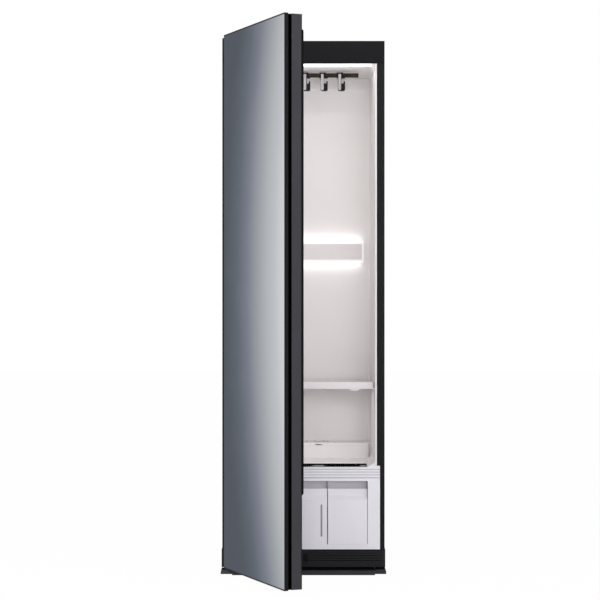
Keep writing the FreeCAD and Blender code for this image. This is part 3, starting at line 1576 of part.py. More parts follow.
def door_liner():
    """The moulded inner face of the door, inside the gasket."""
    back = door_back - door_liner_recess + door_liner_thickness
    sheet = block(-door_liner_side, door_liner_side, door_back - door_liner_recess, back,
                  door_liner_bottom, door_liner_top)
    inner_edges = [edge for edge in sheet.Edges if edge.BoundBox.YMin > back - tiny]
    return sheet.makeChamfer(door_liner_bevel, inner_edges)


def door_gasket():
    """The magnetic gasket; its hinge side is curved so that it clears the jamb as the door swings."""
    side = door_side - gasket_side_inset
    tip = -face_gap
    outer = plate_xz(-side, side, door_back, tip, gasket_bottom, gasket_top, gasket_radius)
    inner = plate_xz(-side + gasket_width, side - gasket_width, door_back - past, tip + past,
                     gasket_bottom + gasket_width, gasket_top - gasket_width, gasket_inner_radius)
    z0 = gasket_bottom - past
    z1 = gasket_top + past
    swept = disc(tip - pivot.y, (pivot.x, pivot.y, z0), z1 - z0)
    right_part = block(pivot.x, side + past, door_back - past, tip + past, z0, z1)
    return outer.cut(inner).common(joined([swept, right_part]))


def hinge_bushes():
    """The flanged bushes that the hinge pins turn in."""
    upper = joined([disc(bush_radius, (pivot.x, pivot.y, bush_seat - hinge_pin_length), hinge_pin_length),
                    disc(bush_flange_radius - past, (pivot.x, pivot.y, bush_seat), bush_flange)])
    lower = joined([disc(bush_radius, (pivot.x, pivot.y, door_bottom), hinge_pin_length),
                    disc(bush_flange_radius, (pivot.x, pivot.y, door_bottom - bush_flange), bush_flange)])
    bore = disc(hinge_pin_radius + shaft_gap, (pivot.x, pivot.y, 0), door_top)
    return group([upper.cut(bore), lower.cut(bore)])


def build():
    """Every node of the cabinet by name, at rest."""
    left_side = side_panel()
    left_liner = liner_side()
    cover = foot_cover()
    nodes = {
        "side_panel_left": left_side,
        "side_panel_right": mirrored(left_side),
        "top_panel": top_panel(),
        "back_panel": back_panel(),
        "header_panel": header_panel(),
        "wall_insulation": wall_insulation(),
        "liner_left": left_liner,
        "liner_right": mirrored(left_liner),
        "liner_back": liner_back(),
        "liner_ceiling": liner_ceiling(),
        "light_diffusers": group([ceiling_lamp(), back_light_diffuser()]),
        "back_light_plate": back_light_plate(),
        "compartment_floor": compartment_floor(),
        "sill_grille": sill_grille(),
        "bay_surround": bay_surround(),
        "bay_tray": bay_tray(),
        "service_cover": service_cover(),
        "kick_grille": kick_grille(),
        "plinth_covers": group([plinth_plate(), cover, mirrored(cover)]),
        "base_tray": group([base_tray()] + rear_feet()),
        "duct_pan": duct_pan(),
        "heat_exchangers": heat_exchangers(),
        "blower_housing": blower_housing(),
        "fan_motor": fan_motor(),
        "compressor": compressor(),
        "steam_generator": steam_generator(),
        "water_pump": water_pump(),
        "control_box": control_box(),
        "power_inlet": power_inlet(),
        "hanger_motor": hanger_motor(),
        "hanger_guide": hanger_guide(),
        "door_hinges": group([top_hinge(), bottom_hinge()]),
        "top_hinge_cover": top_hinge_cover(),
        "door_mirror": opened(door_mirror()),
        "door_front_frame": opened(door_front_frame()),
        "door_body": opened(door_body()),
        "door_foam": opened(door_foam()),
        "door_grip_channel": opened(door_grip_channel()),
        "door_liner": opened(door_liner()),
        "door_gasket": opened(door_gasket()),
        "hinge_bushes": opened(hinge_bushes()),
        "hanger_rail": hanger_rail(),
        "hanger_carriage": hanger_carriage(),
        "hanger_hooks": group(hook(index) for index in range(hook_count)),
        "hook_faces": group(hook_face(index) for index in range(hook_count)),
        "hanger_crank": hanger_crank(),
        "shelf": shelf(),
        "supply_tank": supply_tank(),
        "supply_tank_lid": group([tank_lid(*centre_place), tank_neck(*centre_place)]),
        "supply_cap": tank_cap(*centre_place),
        "level_window": level_window(),
        "drain_tank": drain_tank(),
        "drain_tank_lid": group([tank_lid(*right_place), tank_neck(*right_place)]),
        "drain_cap": tank_cap(*right_place),
        "duct_cover": duct_cover(),
        "lint_filter": lint_filter(),
        "blower_fan": blower_fan(),
        "drain_plug": drain_plug(),
    }
    for name, side in (("levelling_foot_left", -1), ("levelling_foot_right", 1)):
        nodes[name] = levelling_foot(side)
    return nodes


os.makedirs("parts", exist_ok=True)
for name, shape in build().items():
    shape.exportStep("parts/" + name + ".step")
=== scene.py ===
import math

import bmesh
import bpy
from mathutils import Matrix, Vector


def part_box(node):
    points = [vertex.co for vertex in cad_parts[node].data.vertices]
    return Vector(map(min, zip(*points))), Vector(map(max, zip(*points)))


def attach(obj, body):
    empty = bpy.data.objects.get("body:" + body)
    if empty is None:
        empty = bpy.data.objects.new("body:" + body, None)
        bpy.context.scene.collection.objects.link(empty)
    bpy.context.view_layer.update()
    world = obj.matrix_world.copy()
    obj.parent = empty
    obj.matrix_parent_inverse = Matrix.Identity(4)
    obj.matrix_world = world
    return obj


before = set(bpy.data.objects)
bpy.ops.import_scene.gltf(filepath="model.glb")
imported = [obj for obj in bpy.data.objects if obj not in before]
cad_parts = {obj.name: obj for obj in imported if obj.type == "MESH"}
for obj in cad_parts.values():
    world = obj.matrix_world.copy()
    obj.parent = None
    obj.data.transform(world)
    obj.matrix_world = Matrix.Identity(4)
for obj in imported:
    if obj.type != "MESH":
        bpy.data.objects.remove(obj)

# Clothes care steam cabinet: black steel cabinet, tinted mirror door, white moulded interior.
# Metres. X is to the right, Y runs into the cabinet, Z is up from the floor.
MM = 0.001
# How strong each light is: lamps in watts, glows as emission strengths, the room as a background level.
LEVELS = {
    "room": 0.55,
    "key": 20.0,
    "fill": 150.0,
    "front": 112.0,
    "top": 20.0,
    "mouth_high": 0.22,
    "mouth_low": 0.38,
    "strip": 0.44,
    "halo": 0.05,
    "ceiling_lamp": 1.6,
    "ceiling_edge": 0.12,
    "back_lamp": 0.3,
}
# How far the door stands open, and where its casing's inner face lies, in millimetres along the direction
# that runs through the open door's thickness.
DOOR_OPEN = math.radians(67.75)
CASING_INNER = -217.36
# The mix node's two inputs and its output, for numbers and for colours. Their names repeat.
MIX_SOCKETS = {"FLOAT": (2, 3, 0), "RGBA": (6, 7, 2)}
# How many radians the wave node's pattern turns through in one unit of its scaled space.
WAVE_RADIANS = 20
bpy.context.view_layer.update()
scene = bpy.context.scene
scene.view_settings.view_transform = "Standard"


# ---------------------------------------------------------------- camera
def make_camera():
    """A long lens at mid height, level, a little left of the cabinet's middle."""
    data = bpy.data.cameras.new("camera")
    data.sensor_width = 36.0
    data.lens = 113.88
    data.shift_y = 0.0017
    data.clip_end = 60.0
    camera = bpy.data.objects.new("camera", data)
    camera.location = (-0.0126, -6.958, 0.9968)
    camera.rotation_euler = (math.radians(90), 0, 0)
    scene.collection.objects.link(camera)
    scene.camera = camera


make_camera()


# ---------------------------------------------------------------- material helpers
def colour(code):
    """An sRGB hex value as linear RGBA."""
    channels = [int(code[i:i + 2], 16) / 255 for i in (1, 3, 5)]
    linear = [c / 12.92 if c <= 0.04045 else ((c + 0.055) / 1.055) ** 2.4 for c in channels]
    return (*linear, 1.0)


def per_mm(size):
    """The texture scale whose features are size millimetres across."""
    return 1.0 / (size * MM)


def add(tree, kind, settings=None, inputs=None):
    """Adds a node with its settings, a ramp's stops among them, and its inputs, as values or links."""
    node = tree.nodes.new(kind)
    for name, value in (settings or {}).items():
        if name == "stops":
            ramp = node.color_ramp
            while len(ramp.elements) < len(value):
                ramp.elements.new(1.0)
            for element, (position, shade) in zip(ramp.elements, value):
                element.position = position
                element.color = shade
        else:
            setattr(node, name, value)
    for name, value in (inputs or {}).items():
        if isinstance(value, bpy.types.NodeSocket):
            tree.links.new(value, node.inputs[name])
        else:
            node.inputs[name].default_value = value
    return node


def mixed(tree, kind, share, low, high):
    """A number (FLOAT) or a colour (RGBA) between two others, by a 0 to 1 share."""
    first, second, result = MIX_SOCKETS[kind]
    node = add(tree, "ShaderNodeMix", {"data_type": kind}, {0: share, first: low, second: high})
    return node.outputs[result]


def reckoned(tree, operation, *values):
    """What an operation makes of one to three numbers."""
    return add(tree, "ShaderNodeMath", {"operation": operation}, dict(enumerate(values))).outputs[0]


def ranged(tree, value, start=(0.0, 1.0), end=(0.0, 1.0), easing="LINEAR"):
    """A number carried over from one range to another, and held at its ends."""
    node = add(tree, "ShaderNodeMapRange", {"interpolation_type": easing},
               {"Value": value, "From Min": start[0], "From Max": start[1],
                "To Min": end[0], "To Max": end[1]})
    return node.outputs["Result"]


def noise(tree, place, size, inputs):
    """Soft noise with features size millimetres across, as a 0 to 1 share."""
    node = add(tree, "ShaderNodeTexNoise", None, {"Vector": place, "Scale": per_mm(size), **inputs})
    return node.outputs["Fac"]


def bands(tree, place, axis, pitch, inputs):
    """Soft bands that follow each other along an axis every pitch millimetres, as a 0 to 1 share."""
    node = add(tree, "ShaderNodeTexWave", {"wave_type": "BANDS", "bands_direction": axis},
               {"Vector": place, "Scale": per_mm(pitch) * 2 * math.pi / WAVE_RADIANS, **inputs})
    return node.outputs["Fac"]


def relief(tree, height, depth):
    """A bumped normal, depth millimetres from low to high."""
    node = add(tree, "ShaderNodeBump", None, {"Height": height, "Strength": 1.0, "Distance": depth * MM})
    return node.outputs["Normal"]


def within(tree, place, limits):
    """A 0 to 1 share that is full where the place is past every limit.
    Each limit is a direction and the two distances along it, in millimetres, where the share starts and
    is full."""
    share = None
    for direction, near, far in limits:
        reach = add(tree, "ShaderNodeVectorMath", {"operation": "DOT_PRODUCT"}, {0: place, 1: direction})
        ramp = ranged(tree, reach.outputs["Value"], (near * MM, far * MM))
        share = reckoned(tree, "MULTIPLY", share, ramp) if share else ramp
    return share


def new_material(name):
    """An empty node material and its tree."""
    material = bpy.data.materials.new(name)
    material.use_nodes = True
    material.node_tree.nodes.clear()
    return material, material.node_tree


def object_place(tree):
    """The place on the object, in metres, that every pattern follows."""
    return add(tree, "ShaderNodeTexCoord").outputs["Object"]


def close_material(tree, shader):
    """Ends a material at its surface output."""
    add(tree, "ShaderNodeOutputMaterial", None, {"Surface": shader.outputs[0]})


def coated(material, tree, inputs):
    """A material closed with the principled shader and these inputs."""
    close_material(tree, add(tree, "ShaderNodeBsdfPrincipled", None, inputs))
    return material


def surface(name, low, high, patch, gloss, grain, depth, specular=0.5, metallic=0.0, zone=None):
    """A finish whose colour and gloss drift in broad patches, over a fine grain.
    low and high are the patches' colours and gloss is their two roughnesses. patch and grain are feature
    sizes and depth is the grain's height, in millimetres. zone is a second colour and the limits of the
    place that has it."""
    material, tree = new_material(name)
    place = object_place(tree)
    drift = noise(tree, place, patch, {"Detail": 3.0, "Roughness": 0.55})
    pits = noise(tree, place, grain, {"Detail": 2.0, "Roughness": 0.5})
    shade = mixed(tree, "RGBA", drift, colour(low), colour(high))
    if zone:
        second, limits = zone
        shade = mixed(tree, "RGBA", within(tree, place, limits), shade, colour(second))
    return coated(material, tree, {
        "Base Color": shade,
        "Metallic": metallic,
        "Roughness": ranged(tree, drift, (0.3, 0.7), gloss),
        "Specular IOR Level": specular,
        "Normal": relief(tree, pits, depth),
    })


# ---------------------------------------------------------------- finishes
def roller_coated_steel():
    """Coil-coated sheet steel: satin black with a faint orange peel.
    The peel is about 2 mm across, and is drawn at 7 mm so that it shows."""
    return surface("roller_coated_steel", "#19191b", "#1e1e21", patch=220, gloss=(0.36, 0.46),
                   grain=7, depth=0.012, specular=0.35)


def zinc_coated_steel():
    """Hot-dip galvanised sheet: flat spangles of different grey, each with its own gloss."""
    material, tree = new_material("zinc_coated_steel")
    spangle = add(tree, "ShaderNodeTexVoronoi", {"feature": "F1"},
                  {"Vector": object_place(tree), "Scale": per_mm(14)})
    grey = add(tree, "ShaderNodeSeparateColor", None, {"Color": spangle.outputs["Color"]})
    return coated(material, tree, {
        "Base Color": mixed(tree, "RGBA", grey.outputs[0], colour("#8d9092"), colour("#b3b6b8")),
        "Metallic": 1.0,
        "Roughness": ranged(tree, grey.outputs[1], end=(0.34, 0.55)),
    })


def painted_back_sheet():
    """Dark grey painted steel of the back: flatter than the sides, with a dry roller texture."""
    return surface("painted_back_sheet", "#232427", "#2a2b2e", patch=160, gloss=(0.5, 0.62),
                   grain=5, depth=0.02)


def moulded_black_abs():
    """Injection-moulded black ABS: even, with the soft sparkle of an eroded mould.
    The grain is 0.4 mm, and is drawn at 1.5 mm so that it shows close up."""
    return surface("moulded_black_abs", "#1d1c20", "#232227", patch=120, gloss=(0.42, 0.52),
                   grain=1.5, depth=0.03, specular=0.35)


def moulded_deep_black_abs():
    """Injection-moulded jet black ABS of the header, the door's trim, the hooks and the drain plug: darker
    and flatter."""
    return surface("moulded_deep_black_abs", "#131316", "#17171a", patch=120, gloss=(0.46, 0.56),
                   grain=1.5, depth=0.03, specular=0.25)


def ribbed_kick_abs():
    """The kick panel's moulded black ABS, with painted shade, near black, in its level grooves."""
    # Painted shade: whatever lies 0.4 mm and more behind the front, the grooves' walls and floors, is near
    # black.
    groove = [((0, 1, 0), 0.4, 1.6)]
    return surface("ribbed_kick_abs", "#242327", "#29282c", patch=120, gloss=(0.42, 0.52),
                   grain=1.5, depth=0.03, specular=0.35, zone=("#08080a", groove))


def moulded_plinth_pp():
    """Injection-moulded charcoal polypropylene of the plinth: lighter and duller than the kick panel, with
    painted shade, near black, on its ledge under the panel."""
    # Painted shade: everything of the piece from 16 mm above the floor up is near black.
    ledge = [((0, 0, 1), 16.0, 16.6)]
    return surface("moulded_plinth_pp", "#353438", "#3a393d", patch=120, gloss=(0.5, 0.6),
                   grain=1.6, depth=0.03, specular=0.2, zone=("#040405", ledge))


def grip_channel_painted_shade():
    """The grip channel's black lining, painted darker still, near black, as painted shade in the channel."""
    return surface("grip_channel_painted_shade", "#050506", "#08080a", patch=90, gloss=(0.6, 0.7),
                   grain=1.5, depth=0.02, specular=0.1)


def moulded_grey_abs():
    """Injection-moulded charcoal ABS: satin, a little lighter than the trim."""
    return surface("moulded_grey_abs", "#252529", "#2a2a2f", patch=180, gloss=(0.4, 0.5),
                   grain=1.6, depth=0.03)


def casing_with_painted_shade():
    """The door's charcoal ABS casing, painted near black along its inner edge, where the gasket sits, as
    painted shade.
    The limit runs across the door's thickness, as it stands open."""
    inward = (math.sin(DOOR_OPEN), math.cos(DOOR_OPEN), 0)
    # Painted shade: the casing's last 3.4 mm before its inner face is near black.
    inner_edge = [(inward, CASING_INNER - 3.8, CASING_INNER - 3.4)]
    return surface("casing_with_painted_shade", "#2e2e32", "#333338", patch=180, gloss=(0.4, 0.5),
                   grain=1.6, depth=0.03, zone=("#050506", inner_edge))


def formed_white_liner():
    """Vacuum-formed white liner: soft satin, with the slow waves of a drawn sheet."""
    return surface("formed_white_liner", "#e6e2e2", "#ebe8e7", patch=320, gloss=(0.38, 0.5),
                   grain=26, depth=0.05)


def moulded_white_abs():
    """Injection-moulded cool white ABS: even satin of the tanks and their surround."""
    return surface("moulded_white_abs", "#e2e0e7", "#e8e6ed", patch=150, gloss=(0.3, 0.38),
                   grain=1.5, depth=0.02)


def ribbed_white_abs():
    """The sill's moulded white ABS, with painted shade, grey, in its fine level grooves."""
    # Painted shade: the grooves' walls and floors, 0.4 to 3.6 mm behind the front and below 386 mm, are
    # grey.
    grooves = [((0, 1, 0), 0.4, 1.6), ((0, -1, 0), -3.6, -3.4), ((0, 0, -1), -386, -385)]
    return surface("ribbed_white_abs", "#e2e0e7", "#e8e6ed", patch=150, gloss=(0.3, 0.38),
                   grain=1.5, depth=0.02, zone=("#a19fa5", grooves))


def moulded_warm_abs():
    """Injection-moulded warm white ABS of the shelf: satin with a pinkish cast."""
    return surface("moulded_warm_abs", "#d8d2d4", "#ded8da", patch=150, gloss=(0.32, 0.4),
                   grain=1.5, depth=0.02)


def moulded_pearl_abs():
    """Injection-moulded pearl grey ABS of the hooks' faces: darker than the tanks."""
    return surface("moulded_pearl_abs", "#989699", "#9e9c9f", patch=150, gloss=(0.32, 0.4),
                   grain=1.5, depth=0.02)


def moulded_grey_pp():
    """Injection-moulded polypropylene: waxy mid grey with a faint flow mottle."""
    return surface("moulded_grey_pp", "#8f8f93", "#98989c", patch=40, gloss=(0.45, 0.55),
                   grain=2, depth=0.03)


def painted_plate():
    """Silk-painted pale grey plastic of the back light's cover."""
    return surface("painted_plate", "#e3dede", "#e9e4e4", patch=90, gloss=(0.35, 0.42),
                   grain=2, depth=0.01)


def milky_acrylic():
    """Opal acrylic with light-emitting diodes behind it: the ceiling strip glows hard above its lower edge,
    the back tray softly."""
    between_lights = 1.5
    strip_edge = (1.858, 1.86)
    material, tree = new_material("milky_acrylic")
    place = object_place(tree)
    height = add(tree, "ShaderNodeSeparateXYZ", None, {0: place}).outputs[2]
    is_ceiling = reckoned(tree, "GREATER_THAN", height, between_lights)
    strip = ranged(tree, height, strip_edge, (LEVELS["ceiling_edge"], LEVELS["ceiling_lamp"]))
    cloud = noise(tree, place, 60, {"Detail": 2.0})
    return coated(material, tree, {
        "Base Color": mixed(tree, "RGBA", cloud, colour("#f2f2f2"), colour("#f7f7f7")),
        "Roughness": 0.34,
        "Emission Color": colour("#fffaf8"),
        "Emission Strength": mixed(tree, "FLOAT", is_ceiling, LEVELS["back_lamp"], strip),
    })


def rigid_foam():
    """Poured polyurethane foam: pale yellow, with open cells where it was cut."""
    return surface("rigid_foam", "#cdbf8c", "#ddd09f", patch=30, gloss=(0.85, 0.95),
                   grain=2, depth=0.6)


def stacked_fins():
    """Aluminium fins on tubes, drawn as bands: light bands of painted highlight on the fins' edges, dark
    bands of painted shade between them.
    The fins are about 2 mm apart, and are drawn 8 mm apart so that they show."""
    material, tree = new_material("stacked_fins")
    fins = bands(tree, object_place(tree), "X", 8, {"Distortion": 0.2, "Detail": 1.0})
    return coated(material, tree, {
        "Base Color": mixed(tree, "RGBA", fins, colour("#8d9093"), colour("#d4d6d8")),
        "Metallic": 1.0,
        "Roughness": 0.35,
        "Normal": relief(tree, fins, 0.4),
    })


def die_cast_aluminium():
    """Die-cast aluminium: grey skin with cool patches and a sandy grain."""
    return surface("die_cast_aluminium", "#86888a", "#a0a2a4", patch=24, gloss=(0.42, 0.6),
                   grain=1.2, depth=0.06, metallic=1.0)


def turned_steel():
    """Turned and zinc-plated steel: bright, with fine tool rings round its axis.
    The rings are 0.2 mm apart, and are drawn 2.4 mm apart so that they show."""
    material, tree = new_material("turned_steel")
    rings = bands(tree, object_place(tree), "Z", 2.4, {"Distortion": 1.5, "Detail": 2.0})
    return coated(material, tree, {
        "Base Color": mixed(tree, "RGBA", rings, colour("#9b9da0"), colour("#b9bbbd")),
        "Metallic": 1.0,
        "Roughness": ranged(tree, rings, end=(0.22, 0.4)),
        "Normal": relief(tree, rings, 0.01),
    })


def anodised_rail():
    """Dark anodised extrusion: brown-black metal with fine lines drawn along its length.
    The die lines are 0.3 mm apart, and are drawn at 1.5 mm so that they show."""
    stretch = (0.02, 1.0, 1.0)
    material, tree = new_material("anodised_rail")
    along = add(tree, "ShaderNodeMapping", None, {"Vector": object_place(tree), "Scale": stretch})
    lines = noise(tree, along.outputs["Vector"], 1.5, {"Detail": 2.0})
    return coated(material, tree, {
        "Base Color": mixed(tree, "RGBA", lines, colour("#45433d"), colour("#5a5750")),
        "Metallic": 1.0,
        "Roughness": 0.4,
        "Normal": relief(tree, lines, 0.02),
    })


def tinted_mirror_glass():
    """Grey-tinted mirror behind 4 mm float glass: sharp reflections, a cool cast and faint wiping marks."""
    material, tree = new_material("tinted_mirror_glass")
    wipe = noise(tree, object_place(tree), 180, {"Detail": 4.0, "Distortion": 1.2})
    return coated(material, tree, {
        "Base Color": mixed(tree, "RGBA", wipe, colour("#c6c8cb"), colour("#cacccf")),
        "Metallic": 1.0,
        "Roughness": ranged(tree, wipe, (0.35, 0.75), (0.03, 0.07)),
    })


def extruded_gasket():
    """Extruded magnetic gasket: matt black rubber with a slight bloom."""
    return surface("extruded_gasket", "#050506", "#09090a", patch=30, gloss=(0.6, 0.75),
                   grain=1.2, depth=0.02, specular=0.2)


def moulded_rubber():
    """Moulded rubber feet: dull dark grey, dusty in its pores."""
    return surface("moulded_rubber", "#1d1d1e", "#28282a", patch=12, gloss=(0.75, 0.9),
                   grain=1, depth=0.08)


def clear_polycarbonate():
    """Clear moulded polycarbonate of the level window: smoky where it stands in its slot."""
    return surface("clear_polycarbonate", "#8b8a90", "#96959b", patch=30, gloss=(0.1, 0.16),
                   grain=6, depth=0.004)


def woven_net():
    """Nylon filter net: grey threads that cross.
    The threads are 1 mm apart, and are drawn 6 mm apart so that they show."""
    material, tree = new_material("woven_net")
    place = object_place(tree)
    across, upright = [bands(tree, place, axis, 6, {"Distortion": 0.0}) for axis in ("X", "Z")]
    net = reckoned(tree, "MAXIMUM", across, upright)
    return coated(material, tree, {
        "Base Color": mixed(tree, "RGBA", net, colour("#0d0d0e"), colour("#3b3b3e")),
        "Roughness": 0.8,
        "Normal": relief(tree, net, 0.3),
    })


# ---------------------------------------------------------------- finishes on the solids
finishes = {
    "black_steel": roller_coated_steel(),
    "galvanised_steel": zinc_coated_steel(),
    "black_plastic": moulded_black_abs(),
    "dark_grey_plastic": moulded_grey_abs(),
    "white_liner": formed_white_liner(),
    "white_plastic": moulded_white_abs(),
    "grey_plastic": moulded_grey_pp(),
    "grey_plate": painted_plate(),
    "milky_diffuser": milky_acrylic(),
    "foam": rigid_foam(),
    "aluminium_fins": stacked_fins(),
    "cast_aluminium": die_cast_aluminium(),
    "bare_steel": turned_steel(),
    "dark_aluminium": anodised_rail(),
    "tinted_mirror": tinted_mirror_glass(),
    "gasket_rubber": extruded_gasket(),
    "foot_rubber": moulded_rubber(),
    "clear_window": clear_polycarbonate(),
}
# The solids whose finish differs from the others of their slot.
jet = moulded_deep_black_abs()
special = {
    "back_panel": painted_back_sheet(),
    "shelf": moulded_warm_abs(),
    "hook_faces": moulded_pearl_abs(),
    "hanger_hooks": jet,
    "header_panel": jet,
    "door_front_frame": jet,
    "door_body": casing_with_painted_shade(),
    "drain_plug": jet,
    "door_grip_channel": grip_channel_painted_shade(),
    "sill_grille": ribbed_white_abs(),
    "kick_grille": ribbed_kick_abs(),
    "plinth_covers": moulded_plinth_pp(),
}
for name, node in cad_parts.items():
    for holder in node.material_slots:
        slot = holder.material.name.split(".")[0]
        holder.material = special.get(name) or finishes[slot]


# ---------------------------------------------------------------- added pieces
def new_object(name, mesh):
    """A finished mesh as an object of the scene."""
    data = bpy.data.meshes.new(name)
    mesh.to_mesh(data)
    mesh.free()
    made = bpy.data.objects.new(name, data)
    scene.collection.objects.link(made)
    return made


def add_piece(name, body, mesh, material):
    """A finished mesh as a piece that moves with a body."""
    bmesh.ops.recalc_face_normals(mesh, faces=mesh.faces)
    piece = new_object(name, mesh)
    piece.data.materials.append(material)
    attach(piece, body)
    return piece


def thicken(piece, thickness):
    """Gives a sheet its thickness, on the side that its faces turn their backs to."""
    wall = piece.modifiers.new("wall", "SOLIDIFY")
    wall.thickness = thickness
    wall.offset = -1.0


def turned_to(facing):
    """The turn that brings +Z round to a direction."""
    return Vector((0, 0, 1)).rotation_difference(Vector(facing)).to_matrix().to_4x4()


def connected(start):
    """The vertices that edges join to some first ones, and those too."""
    found = set()
    waiting = list(start)
    while waiting:
        vert = waiting.pop()
        if vert not in found:
            found.add(vert)
            waiting.extend(edge.other_vert(vert) for edge in vert.link_edges)
    return list(found)


def lobed_screws(mesh, places, facing, radius, height):
    """Pan-head screws with six-lobed recesses, seated at places and facing one way.
    The crown, the rim, the lobes' hollow and the recess are shares of the head's radius and height."""
    corners, crown, rim, hollow, recess = 24, 0.78, 0.28, 0.72, 0.5
    for place in places:
        verts = bmesh.ops.create_cone(mesh, cap_ends=True, segments=corners, radius1=radius,
                                      radius2=radius * crown, depth=height)["verts"]
        bmesh.ops.translate(mesh, verts=verts, vec=(0, 0, height / 2))
        top = max({face for vert in verts for face in vert.link_faces},
                  key=lambda face: face.calc_center_median().z)
        bmesh.ops.inset_region(mesh, faces=[top], thickness=radius * rim)
        for index, vert in enumerate(top.verts):
            if index // 2 % 2:
                vert.co.xy *= hollow
        bottom = bmesh.ops.extrude_discrete_faces(mesh, faces=[top])["faces"][0]
        bmesh.ops.translate(mesh, verts=bottom.verts, vec=(0, 0, -height * recess))
        seat = Matrix.Translation(place) @ turned_to(facing)
        bmesh.ops.transform(mesh, verts=connected(verts), matrix=seat)


def moulded_strip(mesh, low, high, edge):
    """A strip between two corners, in millimetres, with softened edges."""
    low, high = Vector(low) * MM, Vector(high) * MM
    verts = bmesh.ops.create_cube(mesh, size=1.0)["verts"]
    bmesh.ops.scale(mesh, verts=verts, vec=high - low)
    bmesh.ops.translate(mesh, verts=verts, vec=(low + high) / 2)
    edges = list({edge for vert in verts for edge in vert.link_edges})
    bmesh.ops.bevel(mesh, geom=edges, offset=edge * MM, segments=3, profile=0.5, affect="EDGES", material=-1)


def louvre_hoods():
    """Pressed hoods over the back's vent slots, open downwards: ellipsoids cut at the sheet and at their
    middles."""
    rows, pitch, lowest, aside = 8, 16, 161, 130
    half_width, bulge, half_height = 79, 6.5, 7
    mesh = bmesh.new()
    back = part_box("back_panel")[1].y
    for side in (-1, 1):
        for row in range(rows):
            verts = bmesh.ops.create_uvsphere(mesh, u_segments=24, v_segments=12, radius=1.0)["verts"]
            bmesh.ops.scale(mesh, verts=verts, vec=(half_width * MM, bulge * MM, half_height * MM))
            centre = Vector((side * aside * MM, back, (lowest + row * pitch) * MM))
            bmesh.ops.translate(mesh, verts=verts, vec=centre)
            for normal, cut in (((0, -1, 0), (0, back, 0)), ((0, 0, -1), centre)):
                kept = [vert for vert in verts if vert.is_valid]
                faces = {face for vert in kept for face in vert.link_faces}
                edges = {edge for face in faces for edge in face.edges}
                bmesh.ops.bisect_plane(mesh, geom=[*faces, *edges, *kept], plane_co=cut, plane_no=normal,
                                       clear_outer=True)
    piece = add_piece("louvre_hoods", "cabinet", mesh, special["back_panel"])
    thicken(piece, 0.8 * MM)


def back_screws():
    """Screws round the edge of the back sheet."""
    inset = 12 * MM
    bays_high, bays_wide = 7, 4
    mesh = bmesh.new()
    low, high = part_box("back_panel")
    places = []
    for step in range(bays_high + 1):
        z = low.z + inset + (high.z - low.z - 2 * inset) * step / bays_high
        places += [(low.x + inset, high.y, z), (high.x - inset, high.y, z)]
    for step in range(1, bays_wide):
        x = low.x + inset + (high.x - low.x - 2 * inset) * step / bays_wide
        places += [(x, high.y, low.z + inset), (x, high.y, high.z - inset)]
    lobed_screws(mesh, places, (0, 1, 0), 4.5 * MM, 2.6 * MM)
    add_piece("back_screws", "cabinet", mesh, finishes["bare_steel"])


def cover_screws():
    """Two black screws that hold the top hinge's cover."""
    left, right, into = -284, -236, 85
    mesh = bmesh.new()
    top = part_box("top_hinge_cover")[1].z
    places = [(x * MM, into * MM, top) for x in (left, right)]
    lobed_screws(mesh, places, (0, 0, 1), 4.2 * MM, 2.2 * MM)
    add_piece("cover_screws", "cabinet", mesh, finishes["black_plastic"])


def filter_net():
    """The net stretched inside the lint filter's frame, under its tabs."""
    rim, tab = 4 * MM, 5 * MM
    mesh = bmesh.new()
    low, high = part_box("lint_filter")
    width, height = high.x - low.x - rim, high.z - low.z - tab - rim
    bmesh.ops.create_grid(mesh, x_segments=2, y_segments=1, size=0.5)
    bmesh.ops.rotate(mesh, verts=mesh.verts, matrix=Matrix.Rotation(math.pi / 2, 3, "X"))
    bmesh.ops.scale(mesh, verts=mesh.verts, vec=(width, 1, height))
    bmesh.ops.translate(mesh, verts=mesh.verts,
                        vec=(0, (low.y + high.y) / 2, low.z + rim / 2 + height / 2))
    piece = add_piece("filter_net", "lint_filter", mesh, woven_net())
    thicken(piece, 0.4 * MM)


def hook_face_tops():
    """The pale covers' upper ends, which lie over the clips on the rail."""
    hooks, pitch, width, from_middle = 5, 65.8, 10.4, 0.9
    bottom, top, behind, proud = 1841.3, 1856.5, 0.4, 1.1
    mesh = bmesh.new()
    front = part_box("hook_faces")[0].y / MM
    for index in range(hooks):
        left = (index - hooks // 2) * pitch + from_middle
        moulded_strip(mesh, (left, front - behind, bottom), (left + width, front + proud, top), 0.5)
    add_piece("hook_face_tops", "hanger", mesh, special["hook_faces"])


def corner_packer():
    """The pad between the right foot's cover and the base tray."""
    mesh = bmesh.new()
    moulded_strip(mesh, (261, 5, 17), (299, 19.5, 21), 0.6)
    # It lies wholly above the plinth's shade line, so all of it takes that painted shade, near black.
    add_piece("corner_packer", "cabinet", mesh, special["plinth_covers"])


def floor_edge_shade_strip():
    """A black rubber strip on the floor's front edge, over the lint filter's channel: a dark piece put there
    as painted shade on the slot.
    """
    mesh = bmesh.new()
    moulded_strip(mesh, (-233, 98.8, 389.8), (233, 100, 392.6), 0.4)
    add_piece("floor_edge_shade_strip", "cabinet", mesh, finishes["gasket_rubber"])


def duct_side_seals():
    """White strips that close the gaps between the duct cover's ends and the walls."""
    mesh = bmesh.new()
    for near, far in ((-261.8, -256.0), (256.0, 261.8)):
        moulded_strip(mesh, (near, 352, 393), (far, 460, 451), 1.2)
    add_piece("duct_side_seals", "cabinet", mesh, finishes["white_liner"])


louvre_hoods()
back_screws()
cover_screws()
filter_net()
hook_face_tops()
corner_packer()
floor_edge_shade_strip()
duct_side_seals()


